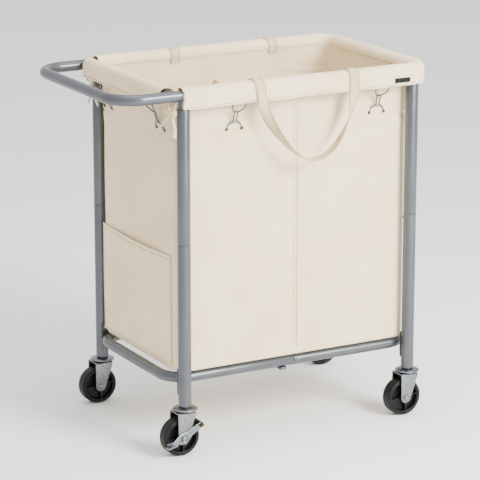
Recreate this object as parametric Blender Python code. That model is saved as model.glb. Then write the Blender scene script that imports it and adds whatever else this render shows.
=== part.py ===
"""Laundry sorter on wheels: a bolted steel tube frame on four swivel casters that carries a two-part
cloth bag. Metres, +Z up, +X along the long side away from the push handle, -Y is the front.
The origin is on the floor under the middle of the whole cart."""

import math

import bmesh
import bpy
from mathutils import Matrix, Vector

# Driving dimensions
GAP = 0.0003  # running gap between pieces that touch
POST_R = 0.015  # 30 mm posts
RAIL_R = 0.0125  # 25 mm rails, ring and handle
TUBE_WALL = 0.0012
LEFT_X, RIGHT_X = -0.245, 0.355  # post axes
HALF_Y = 0.216
MIDDLE_X = (LEFT_X + RIGHT_X) / 2
RING_Z, SEAM_Z, RAIL_Z = 0.171, 0.495, 0.836
POST_FOOT_Z, POST_HEAD_Z = 0.1155, 0.806
POST_NECK_R = 0.011  # reduced head of a post, up to the rim rail
HANDLE_X = -0.405
HANDLE_BEND = 0.065
RIM_LEFT_X, RIM_RIGHT_X = -0.277, 0.387
RIM_BEND = 0.050
SLEEVE_BEND = 0.044
BRACKET_T = 0.003
RING_Y = HALF_Y - POST_R - BRACKET_T - RAIL_R - 2 * GAP
RING_LEFT_X, RING_RIGHT_X = -0.265, 0.375
RING_BEND = 0.055
NECK_LENGTH = 0.040  # reduced tube end that slips into the next tube
NECK_SHOULDER = 0.0012

WHEEL_R = 0.045
WHEEL_HALF = 0.016
TRAIL = 0.015  # wheel axle behind the swivel axis
FORK_INSIDE = 0.0195
FORK_T = 0.0025
FORK_OUTSIDE = FORK_INSIDE + FORK_T
FORK_TOP_Z = 0.104
AXLE_R = 0.004
STEM_R = 0.005
SHOE_REACH = 0.052  # brake shoe from the axle

CLOTH = 0.0025
BAG_FLOOR_Z = RING_Z + RAIL_R + 0.003
SLEEVE_R = 0.0185  # outside of the cloth sleeve round a rail
SLEEVE_INNER_Z = 0.8153  # where the sleeve meets the bag wall
FLAP_Z = 0.807  # lower edge of the sleeve's outer flap
SLEEVE_START_X = -0.254
BAG_CORNER = 0.034
DIVIDER_TOP_Z = 0.770
POCKET_TOP_Z, POCKET_FLOOR_Z = 0.458, 0.195
POCKET_Y = (-0.168, 0.180)
POCKET_DEPTH = 0.008
EYELET_Z = 0.745  # eyelets in the bag wall
STRAP_WIDTH, STRAP_T = 0.025, 0.0016

CORNERS = {
    "front_left": (LEFT_X, -HALF_Y),
    "rear_left": (LEFT_X, HALF_Y),
    "front_right": (RIGHT_X, -HALF_Y),
    "rear_right": (RIGHT_X, HALF_Y),
}
BRAKED = ("front_left", "rear_right")
REVERSED = ("rear_right",)  # casters that trail towards +X at rest

for old in list(bpy.data.objects):
    bpy.data.objects.remove(old, do_unlink=True)


def material(name, color, roughness, metallic=0.0):
    made = bpy.data.materials.new(name)
    made.use_nodes = True
    shader = made.node_tree.nodes["Principled BSDF"]
    shader.inputs["Base Color"].default_value = (*color, 1.0)
    shader.inputs["Roughness"].default_value = roughness
    shader.inputs["Metallic"].default_value = metallic
    return made


GREY_PAINT = ((0.27, 0.29, 0.32), 0.35, 0.4)
ZINC = ((0.62, 0.64, 0.67), 0.28, 1.0)
BLACK_TYRE = ((0.02, 0.02, 0.022), 0.5, 0.0)
CREAM_CLOTH = ((0.80, 0.74, 0.64), 0.9, 0.0)
BOARD = ((0.74, 0.68, 0.56), 0.85, 0.0)
BLACK_LABEL = ((0.02, 0.02, 0.02), 0.5, 0.0)


def add_object(name, mesh_builder, look):
    """One named object with its own material; mesh_builder fills an empty bmesh."""
    bm = bmesh.new()
    mesh_builder(bm)
    bmesh.ops.recalc_face_normals(bm, faces=bm.faces)
    mesh = bpy.data.meshes.new(name)
    bm.to_mesh(mesh)
    bm.free()
    mesh.shade_smooth()
    mesh.set_sharp_from_angle(angle=math.radians(35))
    made = bpy.data.objects.new(name, mesh)
    mesh.materials.append(material(name, *look))
    bpy.context.scene.collection.objects.link(made)
    return made


def cutter(name, mesh_builder):
    made = add_object(name, mesh_builder, BLACK_LABEL)
    made.hide_render = True
    made.display_type = "WIRE"
    return made


def boolean(target, tool, operation="DIFFERENCE"):
    step = target.modifiers.new(tool.name, "BOOLEAN")
    step.operation = operation
    step.object = tool
    step.solver = "EXACT"


def circle(radius, sides, turn=0.0):
    return [
        (radius * math.cos(turn + 2 * math.pi * i / sides), radius * math.sin(turn + 2 * math.pi * i / sides))
        for i in range(sides)
    ]


def skin(bm, rings, closed=False):
    """Joins rings of vertices with quads; closed joins the last ring to the first."""
    count = len(rings[0])
    for a, b in zip(rings, rings[1:] + rings[:1] if closed else rings[1:]):
        for i in range(count):
            bm.faces.new((a[i], a[(i + 1) % count], b[(i + 1) % count], b[i]))


def sweep(bm, path, outline, up=(0, 0, 1), hole=None, ups=None):
    """Sweeps an outline of (side, up) points, or one outline for each position, along a path."""
    path = [Vector(p) for p in path]
    walls = []
    for shape in filter(None, (outline, hole)):
        shapes = [shape] * len(path) if isinstance(shape[0], tuple) else shape
        rings = []
        for i, p in enumerate(path):
            along = (path[min(i + 1, len(path) - 1)] - path[max(i - 1, 0)]).normalized()
            side = along.cross(Vector(ups[i] if ups else up)).normalized()
            lift = side.cross(along)
            rings.append([bm.verts.new(p + side * s + lift * u) for s, u in shapes[i]])
        skin(bm, rings)
        walls.append(rings)
    for end in (0, -1):
        if hole:
            skin(bm, [walls[0][end], walls[1][end]])
        else:
            bm.faces.new(walls[0][end])


def lathe(bm, profile, centre, axis="Z", sides=24, turn=0.0):
    """Turns a closed profile of (radius, height) points round an axis through centre."""
    frame = Matrix.Rotation(-math.pi / 2, 4, "X") if axis == "Y" else Matrix.Identity(4)
    rings = []
    for i in range(sides):
        a = turn + 2 * math.pi * i / sides
        rings.append(
            [
                bm.verts.new(Vector(centre) + frame @ Vector((r * math.cos(a), r * math.sin(a), h)))
                for r, h in profile
            ]
        )
    skin(bm, rings, closed=True)


def rod(bm, profile, centre, direction, sides=12, turn=0.0):
    """A solid turned piece along direction; profile is (radius, height) from one end to the other."""
    frame = Vector(direction).to_track_quat("Z", "Y").to_matrix()
    rings = [
        [bm.verts.new(Vector(centre) + frame @ Vector((x, y, h))) for x, y in circle(r, sides, turn)]
        for r, h in profile
    ]
    skin(bm, rings)
    bm.faces.new(rings[0])
    bm.faces.new(rings[-1])


def prism(bm, outline, place, depth):
    """Extrudes an outline of (a, b) points; place maps (a, b, depth) to a position."""
    rings = [[bm.verts.new(place(a, b, d)) for a, b in outline] for d in depth]
    skin(bm, rings)
    bm.faces.new(rings[0])
    bm.faces.new(rings[1])


def box(bm, low, high):
    outline = [(low[0], low[1]), (high[0], low[1]), (high[0], high[1]), (low[0], high[1])]
    prism(bm, outline, lambda x, y, z: (x, y, z), (low[2], high[2]))


def filleted(corners, radius, steps=6):
    """A path in the XY plane through corner points, each inner corner rounded by an arc."""
    points = [Vector(corners[0])]
    for before, corner, after in zip(corners, corners[1:], corners[2:]):
        corner = Vector(corner)
        back = (Vector(before) - corner).normalized()
        forth = (Vector(after) - corner).normalized()
        centre = corner + (back + forth) * radius
        for i in range(steps + 1):
            a = math.pi / 2 * i / steps
            points.append(centre - forth * radius * math.cos(a) - back * radius * math.sin(a))
    points.append(Vector(corners[-1]))
    return points


def rounded_rectangle(x0, x1, y0, y1, radius, steps=5):
    outline = []
    for cx, cy, start in ((x1, y1, 0), (x0, y1, 90), (x0, y0, 180), (x1, y0, 270)):
        centre_x = cx - math.copysign(radius, cx - (x0 + x1) / 2)
        centre_y = cy - math.copysign(radius, cy - (y0 + y1) / 2)
        for i in range(steps + 1):
            a = math.radians(start + 90 * i / steps)
            outline.append((centre_x + radius * math.cos(a), centre_y + radius * math.sin(a)))
    return outline


def tube(bm, path, radius, sides=12, neck_start=None, neck_end=None):
    """A bent tube; a neck is a (radius, length) to which an end is swaged down."""
    path = [Vector(p) for p in path]
    radii = [radius] * len(path)
    for neck, end, inner in ((neck_start, 0, 1), (neck_end, -1, -2)):
        if not neck:
            continue
        mouth = path[end].copy()
        ahead = (mouth - path[inner]).normalized()
        path[end] = mouth - ahead * NECK_SHOULDER
        tip = [(mouth, neck[0]), (mouth + ahead * neck[1], neck[0])]
        if end:
            path += [p for p, r in tip]
            radii += [r for p, r in tip]
        else:
            path = [p for p, r in reversed(tip)] + path
            radii = [r for p, r in tip] + radii
    outer = [circle(r, sides) for r in radii]
    bore = [circle(r - TUBE_WALL, sides) for r in radii]
    vertical = abs(path[-1].z - path[0].z) > 0.1
    sweep(bm, path, outer, up=(1, 0, 0) if vertical else (0, 0, 1), hole=bore)


def slip_fit(radius):
    """The neck that fits inside a tube of this radius."""
    return (radius - TUBE_WALL - GAP, NECK_LENGTH)


def u_path(open_x, end_x, half_y, z, bend):
    """The centre line of a U tube, from its front end round to its rear end."""
    corners = [(open_x, -half_y, z), (end_x, -half_y, z), (end_x, half_y, z), (open_x, half_y, z)]
    return filleted(corners, bend)


# Frame posts: the upper tube slips into the lower one, and its necked head is cut to cup the rim rail
def rail_bed(bm):
    for end_x, bend in ((HANDLE_X, HANDLE_BEND), (RIM_RIGHT_X, RIM_BEND)):
        open_x = MIDDLE_X + math.copysign(0.1, end_x)
        sweep(bm, u_path(open_x, end_x, HALF_Y, RAIL_Z, bend), circle(RAIL_R + GAP, 12))


rail_bed_cutter = cutter("rail_bed", rail_bed)
for corner, (x, y) in CORNERS.items():
    lower = [(x, y, POST_FOOT_Z), (x, y, SEAM_Z - GAP / 2)]
    upper = [(x, y, SEAM_Z + GAP / 2), (x, y, POST_HEAD_Z)]
    head = (POST_NECK_R, RAIL_Z - 0.007 - POST_HEAD_Z)
    add_object("post_lower_" + corner, lambda bm, p=lower: tube(bm, p, POST_R, 16), GREY_PAINT)
    post = add_object(
        "post_upper_" + corner, lambda bm, p=upper: tube(bm, p, POST_R, 16, slip_fit(POST_R), head), GREY_PAINT
    )
    boolean(post, rail_bed_cutter)


# Base ring and rim: pairs of bent U tubes whose ends slip together at the middle of the long sides
def u_tube(name, end_x, half_y, z, bend):
    left = end_x < MIDDLE_X
    open_x = MIDDLE_X - GAP / 2 if left else MIDDLE_X + GAP / 2
    neck = slip_fit(RAIL_R) if left else None
    path = u_path(open_x, end_x, half_y, z, bend)
    add_object(name, lambda bm: tube(bm, path, RAIL_R, 12, neck, neck), GREY_PAINT)


u_tube("base_ring_left", RING_LEFT_X, RING_Y, RING_Z, RING_BEND)
u_tube("base_ring_right", RING_RIGHT_X, RING_Y, RING_Z, RING_BEND)
u_tube("handle_tube", HANDLE_X, HALF_Y, RAIL_Z, HANDLE_BEND)
u_tube("rim_rail", RIM_RIGHT_X, HALF_Y, RAIL_Z, RIM_BEND)


# Bars across the frame: a flat one bolted under the base ring, and a tube that closes the rim
BASE_BAR_X = MIDDLE_X - 0.028
BASE_BAR_HALF_WIDTH = 0.009
BASE_BAR_T = 0.006


def base_bar(bm):
    top = RING_Z - RAIL_R - GAP
    outline = rounded_rectangle(
        BASE_BAR_X - BASE_BAR_HALF_WIDTH, BASE_BAR_X + BASE_BAR_HALF_WIDTH, -RING_Y - 0.010, RING_Y + 0.010, 0.004, 3
    )
    prism(bm, outline, lambda x, y, z: (x, y, z), (top - BASE_BAR_T, top))


def rim_bar(bm):
    end = HALF_Y - RAIL_R - 2 * GAP
    tube(bm, [(RIM_LEFT_X, -end, RAIL_Z), (RIM_LEFT_X, end, RAIL_Z)], RAIL_R)


add_object("base_crossbar", base_bar, GREY_PAINT)
add_object("rim_crossbar", rim_bar, GREY_PAINT)


# Base brackets: flat plates that tie the ring to the inner side of each post
BRACKET_Z = (0.137, 0.2006)
BRACKET_HALF_WIDTH = 0.011


def base_bracket(bm, x, y):
    inward = -math.copysign(1, y)
    near = y + inward * (POST_R + GAP)
    outline = rounded_rectangle(x - BRACKET_HALF_WIDTH, x + BRACKET_HALF_WIDTH, *BRACKET_Z, 0.004, 3)
    prism(bm, outline, lambda a, b, d: (a, d, b), (near, near + inward * BRACKET_T))


for corner, (x, y) in CORNERS.items():
    add_object("base_bracket_" + corner, lambda bm, x=x, y=y: base_bracket(bm, x, y), GREY_PAINT)


# Casters: kingpin and upper race are fixed to the post, the fork swivels, the wheel turns in the fork
def fork_outline():
    """Side view of the fork: a straight leading edge, a slanted one behind and a round foot."""
    foot_r = 0.013
    foot = (-TRAIL, WHEEL_R)
    shoulder = (0.017, 0.0985)
    reach = math.hypot(shoulder[0] - foot[0], shoulder[1] - foot[1])
    slant = math.atan2(shoulder[1] - foot[1], shoulder[0] - foot[0]) - math.acos(foot_r / reach)
    outline = [(foot[0] - foot_r, FORK_TOP_Z), (shoulder[0], FORK_TOP_Z), shoulder]
    steps = 8
    for i in range(steps + 1):
        a = slant + (-math.pi - slant) * i / steps
        outline.append((foot[0] + foot_r * math.cos(a), foot[1] + foot_r * math.sin(a)))
    return outline


def fork_channel(bm):
    """An upside-down U of bent sheet, running along X."""
    inner_z, low_z = FORK_TOP_Z - FORK_T, 0.020
    outline = [
        (-FORK_OUTSIDE, low_z),
        (-FORK_OUTSIDE, FORK_TOP_Z - 0.003),
        (-FORK_OUTSIDE + 0.003, FORK_TOP_Z),
        (FORK_OUTSIDE - 0.003, FORK_TOP_Z),
        (FORK_OUTSIDE, FORK_TOP_Z - 0.003),
        (FORK_OUTSIDE, low_z),
        (FORK_INSIDE, low_z),
        (FORK_INSIDE, inner_z),
        (-FORK_INSIDE, inner_z),
        (-FORK_INSIDE, low_z),
    ]
    prism(bm, outline, lambda y, z, x: (x, y, z), (-0.040, 0.030))


def fork_side(bm):
    prism(bm, fork_outline(), lambda x, z, y: (x, y, z), (-0.040, 0.040))


def fork_holes(bm):
    rod(bm, [(AXLE_R + GAP, -0.05), (AXLE_R + GAP, 0.05)], (-TRAIL, 0, WHEEL_R), (0, 1, 0), 12)
    rod(bm, [(STEM_R + GAP, 0.08), (STEM_R + GAP, 0.12)], (0, 0, 0), (0, 0, 1), 12)


def stem(bm):
    """The kingpin: a riveted foot under the fork, a collar above the race and a plug in the post."""
    low = FORK_TOP_Z - FORK_T - GAP
    race_top = 0.1130 + GAP
    profile = [(0.006, low - 0.003), (0.009, low - 0.001), (0.009, low), (STEM_R, low)]
    profile += [(STEM_R, race_top), (0.0105, race_top), (0.0105, 0.1165), (0.0130, 0.1165)]
    profile += [(0.0130, 0.148), (0.0115, 0.150)]
    rod(bm, profile, (0, 0, 0), (0, 0, 1), sides=12)


def race(bm):
    bore, low = STEM_R + GAP, FORK_TOP_Z + GAP
    profile = [(bore, low), (0.020, low), (0.0285, 0.1068), (0.029, 0.1090)]
    profile += [(0.026, 0.1120), (0.018, 0.1130), (bore, 0.1130)]
    lathe(bm, profile, (0, 0, 0), sides=20)


def axle(bm, lever_side):
    inner = FORK_OUTSIDE + GAP
    front = inner + (LEVER_T + GAP if lever_side else 0)
    profile = [(0.0035, -front - 0.0035), (0.006, -front - 0.0018), (0.0068, -front), (AXLE_R, -front)]
    profile += [(AXLE_R, inner), (0.0068, inner), (0.006, inner + 0.0018), (0.0035, inner + 0.0035)]
    rod(bm, profile, (-TRAIL, 0, WHEEL_R), (0, 1, 0), sides=12)


WHEEL_SIDES = 24


def wheel(bm):
    """Tyre rim, recessed web and hub; its flats stand on the floor, so the radius is to the flats."""
    out = 1 / math.cos(math.pi / WHEEL_SIDES)
    bore, hub, rim = AXLE_R + GAP, 0.011, 0.034
    half = [(bore, 0.0185), (hub, 0.0185), (hub + 0.001, 0.004), (rim, 0.004)]
    half += [(rim + 0.001, WHEEL_HALF), (WHEEL_R - 0.003, WHEEL_HALF), (WHEEL_R, WHEEL_HALF - 0.004)]
    profile = [(r * out, h) for r, h in half] + [(r * out, -h) for r, h in reversed(half)]
    profile[0], profile[-1] = (bore, half[0][1]), (bore, -half[0][1])
    lathe(bm, profile, (-TRAIL, 0, WHEEL_R), "Y", WHEEL_SIDES, math.pi / WHEEL_SIDES)


LEVER_T = 0.002
LEVER_Y = -(FORK_OUTSIDE + GAP + LEVER_T)  # outer face of the lever plate
SHOE_ANGLE = math.radians(31)
SHOE = (-TRAIL + SHOE_REACH * math.cos(SHOE_ANGLE), WHEEL_R + SHOE_REACH * math.sin(SHOE_ANGLE))


def lever_plate(bm):
    """A rocking plate on the axle: a foot arm ahead of it and a shoe arm behind it."""
    x, z = -TRAIL, WHEEL_R
    outline = [(x - 0.043, z - 0.011), (x - 0.008, z - 0.010), (x + 0.006, z - 0.010), (x + 0.022, z + 0.004)]
    outline += [(SHOE[0] + 0.006, SHOE[1] - 0.004), (SHOE[0] + 0.004, SHOE[1] + 0.006)]
    outline += [(SHOE[0] - 0.005, SHOE[1] + 0.005), (x + 0.006, z + 0.010), (x - 0.008, z + 0.009)]
    outline += [(x - 0.026, z - 0.004), (x - 0.043, z - 0.007)]
    prism(bm, outline, lambda a, b, y: (a, y, b), (LEVER_Y, LEVER_Y + LEVER_T))


def lever_foot(bm):
    x, z = -TRAIL, WHEEL_R
    outline = [(-0.047, -0.0165), (-0.023, -0.0110), (-0.023, -0.0075), (-0.047, -0.0130)]
    prism(bm, outline, lambda a, b, y: (x + a, y, z + b), (LEVER_Y - 0.014, LEVER_Y + 0.0005))


def lever_holes(bm):
    rod(bm, [(AXLE_R + GAP, -0.05), (AXLE_R + GAP, 0)], (-TRAIL, 0, WHEEL_R), (0, 1, 0), 12)
    rod(bm, [(0.0033, -0.05), (0.0033, 0)], (SHOE[0], 0, SHOE[1]), (0, 1, 0), 8)


def brake_shoe(bm):
    """A cross bolt through the lever with a sleeve that presses on the tread."""
    face, back = LEVER_Y - GAP, LEVER_Y + LEVER_T + GAP
    profile = [(0.0045, face - 0.005), (0.0052, face - 0.004), (0.0052, face), (0.003, face)]
    profile += [(0.003, back), (0.0058, back), (0.0058, 0.016), (0.005, 0.017)]
    rod(bm, profile, (SHOE[0], 0, SHOE[1]), (0, 1, 0), sides=12)


for corner, (x, y) in CORNERS.items():
    braked = corner in BRAKED
    pivot = bpy.data.objects.new("swivel_" + corner, None)
    pivot.location = (x, y, 0)
    pivot.rotation_euler.z = math.pi if corner in REVERSED else 0
    bpy.context.scene.collection.objects.link(pivot)
    pieces = {
        "caster_stem_": (stem, ZINC),
        "caster_race_": (race, ZINC),
        "caster_fork_": (fork_channel, ZINC),
        "caster_axle_": (lambda bm, braked=braked: axle(bm, braked), ZINC),
        "caster_wheel_": (wheel, BLACK_TYRE),
    }
    tools = {"fork_side_": fork_side, "fork_holes_": fork_holes}
    if braked:
        pieces["brake_lever_"] = (lever_plate, ZINC)
        pieces["brake_shoe_"] = (brake_shoe, BLACK_LABEL)
        tools["lever_foot_"] = lever_foot
        tools["lever_holes_"] = lever_holes
    made = {name: add_object(name + corner, *look) for name, look in pieces.items()}
    made.update({name: cutter(name + corner, builder) for name, builder in tools.items()})
    for piece in made.values():
        piece.parent = pivot
    boolean(made["caster_fork_"], made["fork_side_"], "INTERSECT")
    boolean(made["caster_fork_"], made["fork_holes_"])
    if braked:
        boolean(made["brake_lever_"], made["lever_foot_"], "UNION")
        boolean(made["brake_lever_"], made["lever_holes_"])


# Bag: one open cloth box hung inside the rim, a divider across it and a board in each half
BAG_FLOOR_TOP_Z = BAG_FLOOR_Z + CLOTH
BOARD_T = 0.003
BAG_LEFT_X, BAG_RIGHT_X, BAG_HALF_Y = -0.252, 0.362, 0.198
RIM_FLARE = 0.006  # the end walls lean out to the rim over their last 110 mm


def bag_levels():
    """(z, inset, flare) of the bag's outline from the floor to the rim."""
    return [(BAG_FLOOR_Z, 0.004, 0), (BAG_FLOOR_Z + 0.004, 0, 0), (0.700, 0, 0), (SLEEVE_INNER_Z - GAP, 0, RIM_FLARE)]


def bag_outline(inset, flare, steps=5):
    x0, x1 = BAG_LEFT_X - flare + inset, BAG_RIGHT_X + flare - inset
    y1 = BAG_HALF_Y - inset
    return rounded_rectangle(x0, x1, -y1, y1, BAG_CORNER - inset, steps)


def bag(bm):
    rings = []
    for z, inset, flare in bag_levels():
        rings.append([bm.verts.new((x, y, z)) for x, y in bag_outline(inset, flare)])
    inner = [(z, inset, flare) for z, inset, flare in bag_levels()[1:]]
    inner[0] = (BAG_FLOOR_TOP_Z, 0, 0)
    for z, inset, flare in reversed(inner):
        rings.append([bm.verts.new((x, y, z)) for x, y in bag_outline(inset + CLOTH, flare)])
    skin(bm, rings)
    bm.faces.new(rings[0])
    bm.faces.new(rings[-1])


def divider(bm):
    half = BAG_HALF_Y - CLOTH - GAP
    box(
        bm,
        (MIDDLE_X - CLOTH / 2, -half, BAG_FLOOR_TOP_Z + GAP),
        (MIDDLE_X + CLOTH / 2, half, DIVIDER_TOP_Z),
    )


def board(bm, left):
    """Half of the bag's floor, square at the divider and rounded at the outer corners."""
    low = BAG_FLOOR_TOP_Z + GAP
    margin = CLOTH + 0.004
    y1 = BAG_HALF_Y - margin
    cut = MIDDLE_X - 0.004 if left else MIDDLE_X + 0.004
    whole = rounded_rectangle(BAG_LEFT_X + margin, BAG_RIGHT_X - margin, -y1, y1, BAG_CORNER - margin)
    kept = [(x, y) for x, y in whole if (x < cut) == left]
    kept = sorted(kept + [(cut, -y1), (cut, y1)], key=lambda p: math.atan2(p[1], p[0] - cut - (-0.1 if left else 0.1)))
    prism(bm, kept, lambda x, y, z: (x, y, z), (low, low + BOARD_T))


add_object("bag_shell", bag, CREAM_CLOTH)
add_object("bag_divider", divider, CREAM_CLOTH)
add_object("bottom_board_left", lambda bm: board(bm, True), BOARD)
add_object("bottom_board_right", lambda bm: board(bm, False), BOARD)


# Rim sleeves: cloth folded over the rails, with a short flap on the outside
def sleeve_outline(flap_z):
    """An upside-down U; positive side is outside the bag."""
    inner_u, outer_u = SLEEVE_INNER_Z - RAIL_Z, flap_z - RAIL_Z
    small = SLEEVE_R - 0.0027
    steps = 8
    over = [(SLEEVE_R * math.cos(math.pi * i / steps), SLEEVE_R * math.sin(math.pi * i / steps)) for i in range(steps + 1)]
    under = [(small * math.cos(math.pi * i / steps), small * math.sin(math.pi * i / steps)) for i in range(steps + 1)]
    return [(SLEEVE_R, outer_u), *over, (-SLEEVE_R, inner_u), (-small, inner_u), *reversed(under), (small, outer_u)]


def rim_sleeve(bm):
    path = u_path(SLEEVE_START_X, RIM_RIGHT_X, HALF_Y, RAIL_Z, SLEEVE_BEND)
    sweep(bm, path, sleeve_outline(FLAP_Z))


def rim_sleeve_left(bm):
    end = HALF_Y - SLEEVE_R - 0.001
    sweep(bm, [(RIM_LEFT_X, end, RAIL_Z), (RIM_LEFT_X, -end, RAIL_Z)], sleeve_outline(FLAP_Z + 0.005))


add_object("rim_sleeve", rim_sleeve, CREAM_CLOTH)
add_object("rim_sleeve_left", rim_sleeve_left, CREAM_CLOTH)


# Side pocket: a shallow tray sewn to the left wall, open at the top
def pocket_box(bm):
    face = BAG_LEFT_X - GAP
    box(bm, (face - POCKET_DEPTH, POCKET_Y[0], POCKET_FLOOR_Z), (face, POCKET_Y[1], POCKET_TOP_Z))


def pocket_mouth(bm):
    face = BAG_LEFT_X - GAP
    wall = 0.002
    low = (face - POCKET_DEPTH + wall, POCKET_Y[0] + wall, POCKET_FLOOR_Z + wall)
    box(bm, low, (face + 0.01, POCKET_Y[1] - wall, POCKET_TOP_Z + 0.02))


side_pocket = add_object("side_pocket", pocket_box, CREAM_CLOTH)
boolean(side_pocket, cutter("pocket_mouth", pocket_mouth))


# Webbing handles: sewn inside the wall, over the rim and down in a loop that turns edge-on
def smooth(points, steps):
    """A Catmull-Rom curve through (position, face direction) pairs."""
    points = [(Vector(p), Vector(n)) for p, n in points]
    padded = [points[0], *points, points[-1]]
    curve = []
    for a, b, c, d in zip(padded, padded[1:], padded[2:], padded[3:]):
        for i in range(steps):
            t = i / steps
            place = 0.5 * (
                2 * b[0]
                + (c[0] - a[0]) * t
                + (2 * a[0] - 5 * b[0] + 4 * c[0] - d[0]) * t * t
                + (3 * b[0] - a[0] - 3 * c[0] + d[0]) * t**3
            )
            curve.append((place, b[1].lerp(c[1], t).normalized()))
    curve.append(points[-1])
    return curve


def strap(bm, legs, side):
    """legs are the X positions over the rim; side is -1 for the front and 1 for the rear."""
    reach = SLEEVE_R + GAP + STRAP_T / 2 + 0.0006
    wall_y = BAG_HALF_Y - CLOTH - GAP - STRAP_T / 2

    def over_rim(x):
        start = [((x, side * wall_y, 0.780), (0, -side, 0))]
        for i in range(9):
            a = math.pi * i / 8
            away = HALF_Y - wall_y if i < 4 else reach
            y, z = HALF_Y - away * math.cos(a), reach * math.sin(a)
            start.append(((x, side * y, RAIL_Z + z), (0, -side * math.cos(a), math.sin(a))))
        return start

    outer = HALF_Y + reach
    span = legs[1] - legs[0]
    loop = []
    for t, y, z, turn in (
        (0.004, 0.0005, 0.802, 0),
        (0.060, 0.003, 0.765, 0.45),
        (0.180, 0.007, 0.722, 0.8),
        (0.350, 0.011, 0.680, 1.0),
        (0.540, 0.012, 0.662, 1.0),
        (0.730, 0.010, 0.680, 1.0),
        (0.880, 0.006, 0.722, 0.8),
        (0.965, 0.002, 0.765, 0.45),
        (0.998, 0.0005, 0.802, 0),
    ):
        out = Vector((math.copysign(1, t - 0.54), 0, -0.5 if turn > 0.7 else 0)).normalized()
        out = Vector((0, 0, -1)) if t == 0.540 else out
        face = Vector((0, side * math.cos(turn * math.pi / 2), 0)) + out * math.sin(turn * math.pi / 2)
        loop.append(((legs[0] + span * t, side * (outer + y), z), face))
    curve = smooth(over_rim(legs[0]) + loop + over_rim(legs[1])[::-1], 2)
    half, thin = STRAP_WIDTH / 2, STRAP_T / 2
    outline = [(-half, -thin), (half, -thin), (half, thin), (-half, thin)]
    sweep(bm, [p for p, n in curve], outline, ups=[n for p, n in curve])


FRONT_LEGS, REAR_LEGS = (-0.054, 0.185), (-0.041, 0.214)
add_object("front_handle", lambda bm: strap(bm, FRONT_LEGS, -1), CREAM_CLOTH)
add_object("rear_handle", lambda bm: strap(bm, REAR_LEGS, 1), CREAM_CLOTH)


# Flap hooks: a wire bow under the flap, a flat link and a lower bow into two eyelets of the wall
WIRE_R = 0.0012


def wire(bm, points, closed=False):
    """A bent round wire through (along the wall, out from it, height) points."""
    path = [Vector(p) for p in points]
    last = len(path) - 1
    rings = []
    for i, p in enumerate(path):
        before = path[i - 1] if closed or i else p
        after = path[(i + 1) % len(path)] if closed or i < last else p
        turn = (after - before).to_track_quat("Z", "X").to_matrix()
        rings.append([bm.verts.new(p + turn @ Vector((x, y, 0))) for x, y in circle(WIRE_R, 5)])
    skin(bm, rings, closed)
    if not closed:
        bm.faces.new(rings[0])
        bm.faces.new(rings[-1])


def arch(half):
    """The second half of a bow mirrors the first, which ends at the middle."""
    return half + [(-a, o, z) for a, o, z in reversed(half[:-1])]


def low_bow(bm):
    wire(bm, arch([(-0.019, 0.002, 0.746), (-0.014, 0.006, 0.757), (0, 0.009, 0.763)]))


def high_bow(bm):
    wire(bm, arch([(-0.0175, 0.033, 0.8035), (-0.012, 0.023, 0.791), (0, 0.016, 0.785)]))


def hook_link(bm):
    corners = [(-0.004, 0.0085, 0.7625), (0.004, 0.0085, 0.7625), (0.004, 0.0165, 0.7855), (-0.004, 0.0165, 0.7855)]
    wire(bm, corners, closed=True)


HOOKS = {
    "front_left": (-0.110, -BAG_HALF_Y, 0),
    "front_right": (0.266, -BAG_HALF_Y, 0),
    "rear_left": (-0.110, BAG_HALF_Y, 180),
    "rear_right": (0.266, BAG_HALF_Y, 180),
    "left_front": (BAG_LEFT_X - 0.002, -0.126, -90),
    "left_rear": (BAG_LEFT_X - 0.002, 0.142, -90),
    "right_front": (BAG_RIGHT_X + 0.002, -0.134, 90),
    "right_rear": (BAG_RIGHT_X + 0.002, 0.134, 90),
}
for place, (x, y, turn) in HOOKS.items():
    hook = add_object("flap_hook_" + place, low_bow, ZINC)
    tools = [cutter(name + place, builder) for name, builder in (("link_", hook_link), ("high_bow_", high_bow))]
    for piece in (hook, *tools):
        piece.data.transform(Matrix.Scale(-1, 4, (0, 1, 0)))
        piece.data.flip_normals()
        piece.location = (x, y, 0)
        piece.rotation_euler.z = math.radians(turn)
    for tool in tools:
        boolean(hook, tool, "UNION")


# Blank label sewn on the front flap
def label(bm):
    face = -(HALF_Y + SLEEVE_R + GAP)
    box(bm, (0.296, face - 0.0008, 0.815), (0.337, face, 0.826))


add_object("rim_label", label, BLACK_LABEL)
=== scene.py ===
"""Rolling laundry sorter: a bolted tube frame on swivel casters with a divided cloth bag."""

import math

import bmesh
import bpy
import numpy as np
from mathutils import Matrix, Vector, noise


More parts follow.
